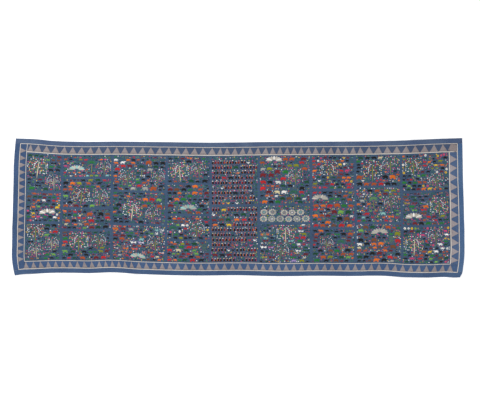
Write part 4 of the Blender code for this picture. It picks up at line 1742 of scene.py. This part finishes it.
@dataclass
class Studio:
    """A pale floor, soft even light and a camera straight over the cloth."""

    floor_size: float = 9.0
    floor_colour: str = "#f4f4f4"
    floor_glow: float = 0.45
    floor_grains_per_m: float = 40.0
    floor_grain: float = 0.0002
    camera_height: float = 9.07
    lens: float = 85.0
    aim: tuple[float, float] = (0.0144, -0.0093)
    world: float = 0.50
    key: tuple[float, float, float] = (-2.6, 2.4, 3.4)
    key_size: float = 2.2
    key_watts: float = 100.0
    fill: tuple[float, float, float] = (2.8, -2.2, 3.8)
    fill_size: float = 3.0
    fill_watts: float = 54.0

    def floor(self) -> None:
        """Lay a matt white board with a fine grain, which evens out the light."""
        half = self.floor_size / 2
        mesh = bpy.data.meshes.new("floor")
        corners = [(-half, -half, 0), (half, -half, 0), (half, half, 0), (-half, half, 0)]
        mesh.from_pydata(corners, [], [(0, 1, 2, 3)])
        made = bpy.data.objects.new("floor", mesh)
        bpy.context.scene.collection.objects.link(made)
        material = blank_material("matt white board")
        tree = material.node_tree
        place = add_node(tree, "ShaderNodeTexCoord").outputs["Object"]
        grain = add_node(tree, "ShaderNodeTexNoise", {"Vector": place, "Scale": self.floor_grains_per_m})
        bump = add_node(
            tree, "ShaderNodeBump", {"Height": grain.outputs["Fac"], "Distance": self.floor_grain})
        shader = add_node(
            tree, "ShaderNodeBsdfPrincipled",
            {"Base Color": linear(self.floor_colour), "Roughness": 0.9, "Normal": bump.outputs[0],
             "Emission Color": linear(self.floor_colour), "Emission Strength": self.floor_glow})
        add_node(tree, "ShaderNodeOutputMaterial", {"Surface": shader.outputs[0]})
        mesh.materials.append(material)

    def light(self, name: str, place: tuple[float, float, float], size: float, watts: float) -> None:
        """A square area light aimed at the cloth's middle.

        Args:
            name: the light's name.
            place: where it stands.
            size: length of its side.
            watts: its power.
        """
        data = bpy.data.lights.new(name, "AREA")
        data.size = size
        data.energy = watts
        made = bpy.data.objects.new(name, data)
        made.location = place
        made.rotation_euler = (-Vector(place)).to_track_quat("-Z", "Y").to_euler()
        bpy.context.scene.collection.objects.link(made)

    def build(self) -> None:
        """Make the floor, world, lights and camera."""
        self.floor()
        world = bpy.data.worlds.new("studio")
        world.use_nodes = True
        sky = world.node_tree.nodes["Background"]
        sky.inputs["Color"].default_value = (1, 1, 1, 1)
        sky.inputs["Strength"].default_value = self.world
        bpy.context.scene.world = world
        bpy.context.scene.view_settings.view_transform = "Standard"
        self.light("key", self.key, self.key_size, self.key_watts)
        self.light("fill", self.fill, self.fill_size, self.fill_watts)
        data = bpy.data.cameras.new("camera")
        data.lens = self.lens
        data.clip_end = 100
        camera = bpy.data.objects.new("camera", data)
        camera.location = (*self.aim, self.camera_height)
        bpy.context.scene.collection.objects.link(camera)
        bpy.context.scene.camera = camera


def cotton_finishes_with_painted_light() -> dict[str, CottonFinish]:
    """A finish for each ground node: field, bands and the border's four lengths differ a little. The top
    border is lighter and greyer, partly fading and partly painted light from above; the bottom border is
    darker, with painted shade.
    """
    colours = {
        "ground_field": ("#3d5573", "#465f7c"),
        "band_top": ("#445472", "#4e5e7a"),
        "band_bottom": ("#425b82", "#4a638a"),
        "band_left": ("#3a5176", "#435b81"),
        "band_right": ("#4c6287", "#566d91"),
        # Painted light: border_top is lighter and greyer, partly fade and partly painted light from above;
        # border_bottom is darker with painted shade
        "border_top": ("#4a5d80", "#5a6c88"),
        "border_bottom": ("#41597f", "#4a6489"),
        "border_left": ("#3d5579", "#46608a"),
        "border_right": ("#466691", "#567398"),
    }
    return {
        node: CottonFinish("plain-weave cotton " + node.replace("_", " "), *pair)
        for node, pair in colours.items()}


def declare(ground: dict[str, bpy.types.Object], stretches: dict[str, Rectangle]) -> None:
    """Work out each ground sheet's stretch of the cut, less half the gap at each side; nothing more is done
    with it.

    Args:
        ground: the sheets by node name.
        stretches: their stretches of the cut.
    """
    for node, piece in ground.items():
        stretch = stretches[node].inset(GAP / 2)


def main() -> None:
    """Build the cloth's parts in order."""
    logging.basicConfig(level=logging.INFO, format="%(message)s")
    Studio().build()
    lay = Lay()
    plan = BorderPlan(lay)
    cloth = GroundCloth(lay, plan)
    ground = cloth.build(cotton_finishes_with_painted_light())
    strips = OffWhiteStrips(lay, plan).build(
        CottonFinish("off-white cotton tape", "#e4dcd2", "#eee6dc", 0.10))
    teeth = Sawtooth(lay, plan).build(
        CottonFinish("grey-lilac applique cotton", "#948a8b", "#a0989a", 0.12),
        CottonFinish("paler grey-lilac applique cotton", "#a2989b", "#ada6aa", 0.12))
    embroidery = Embroidery(lay, plan).build(FlossFinish())
    hem = HemStitches(lay, plan).build(FlossFinish("blue sewing thread"))
    declare(ground, cloth.stretches())
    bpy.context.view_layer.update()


if __name__ == "__main__":
    main()
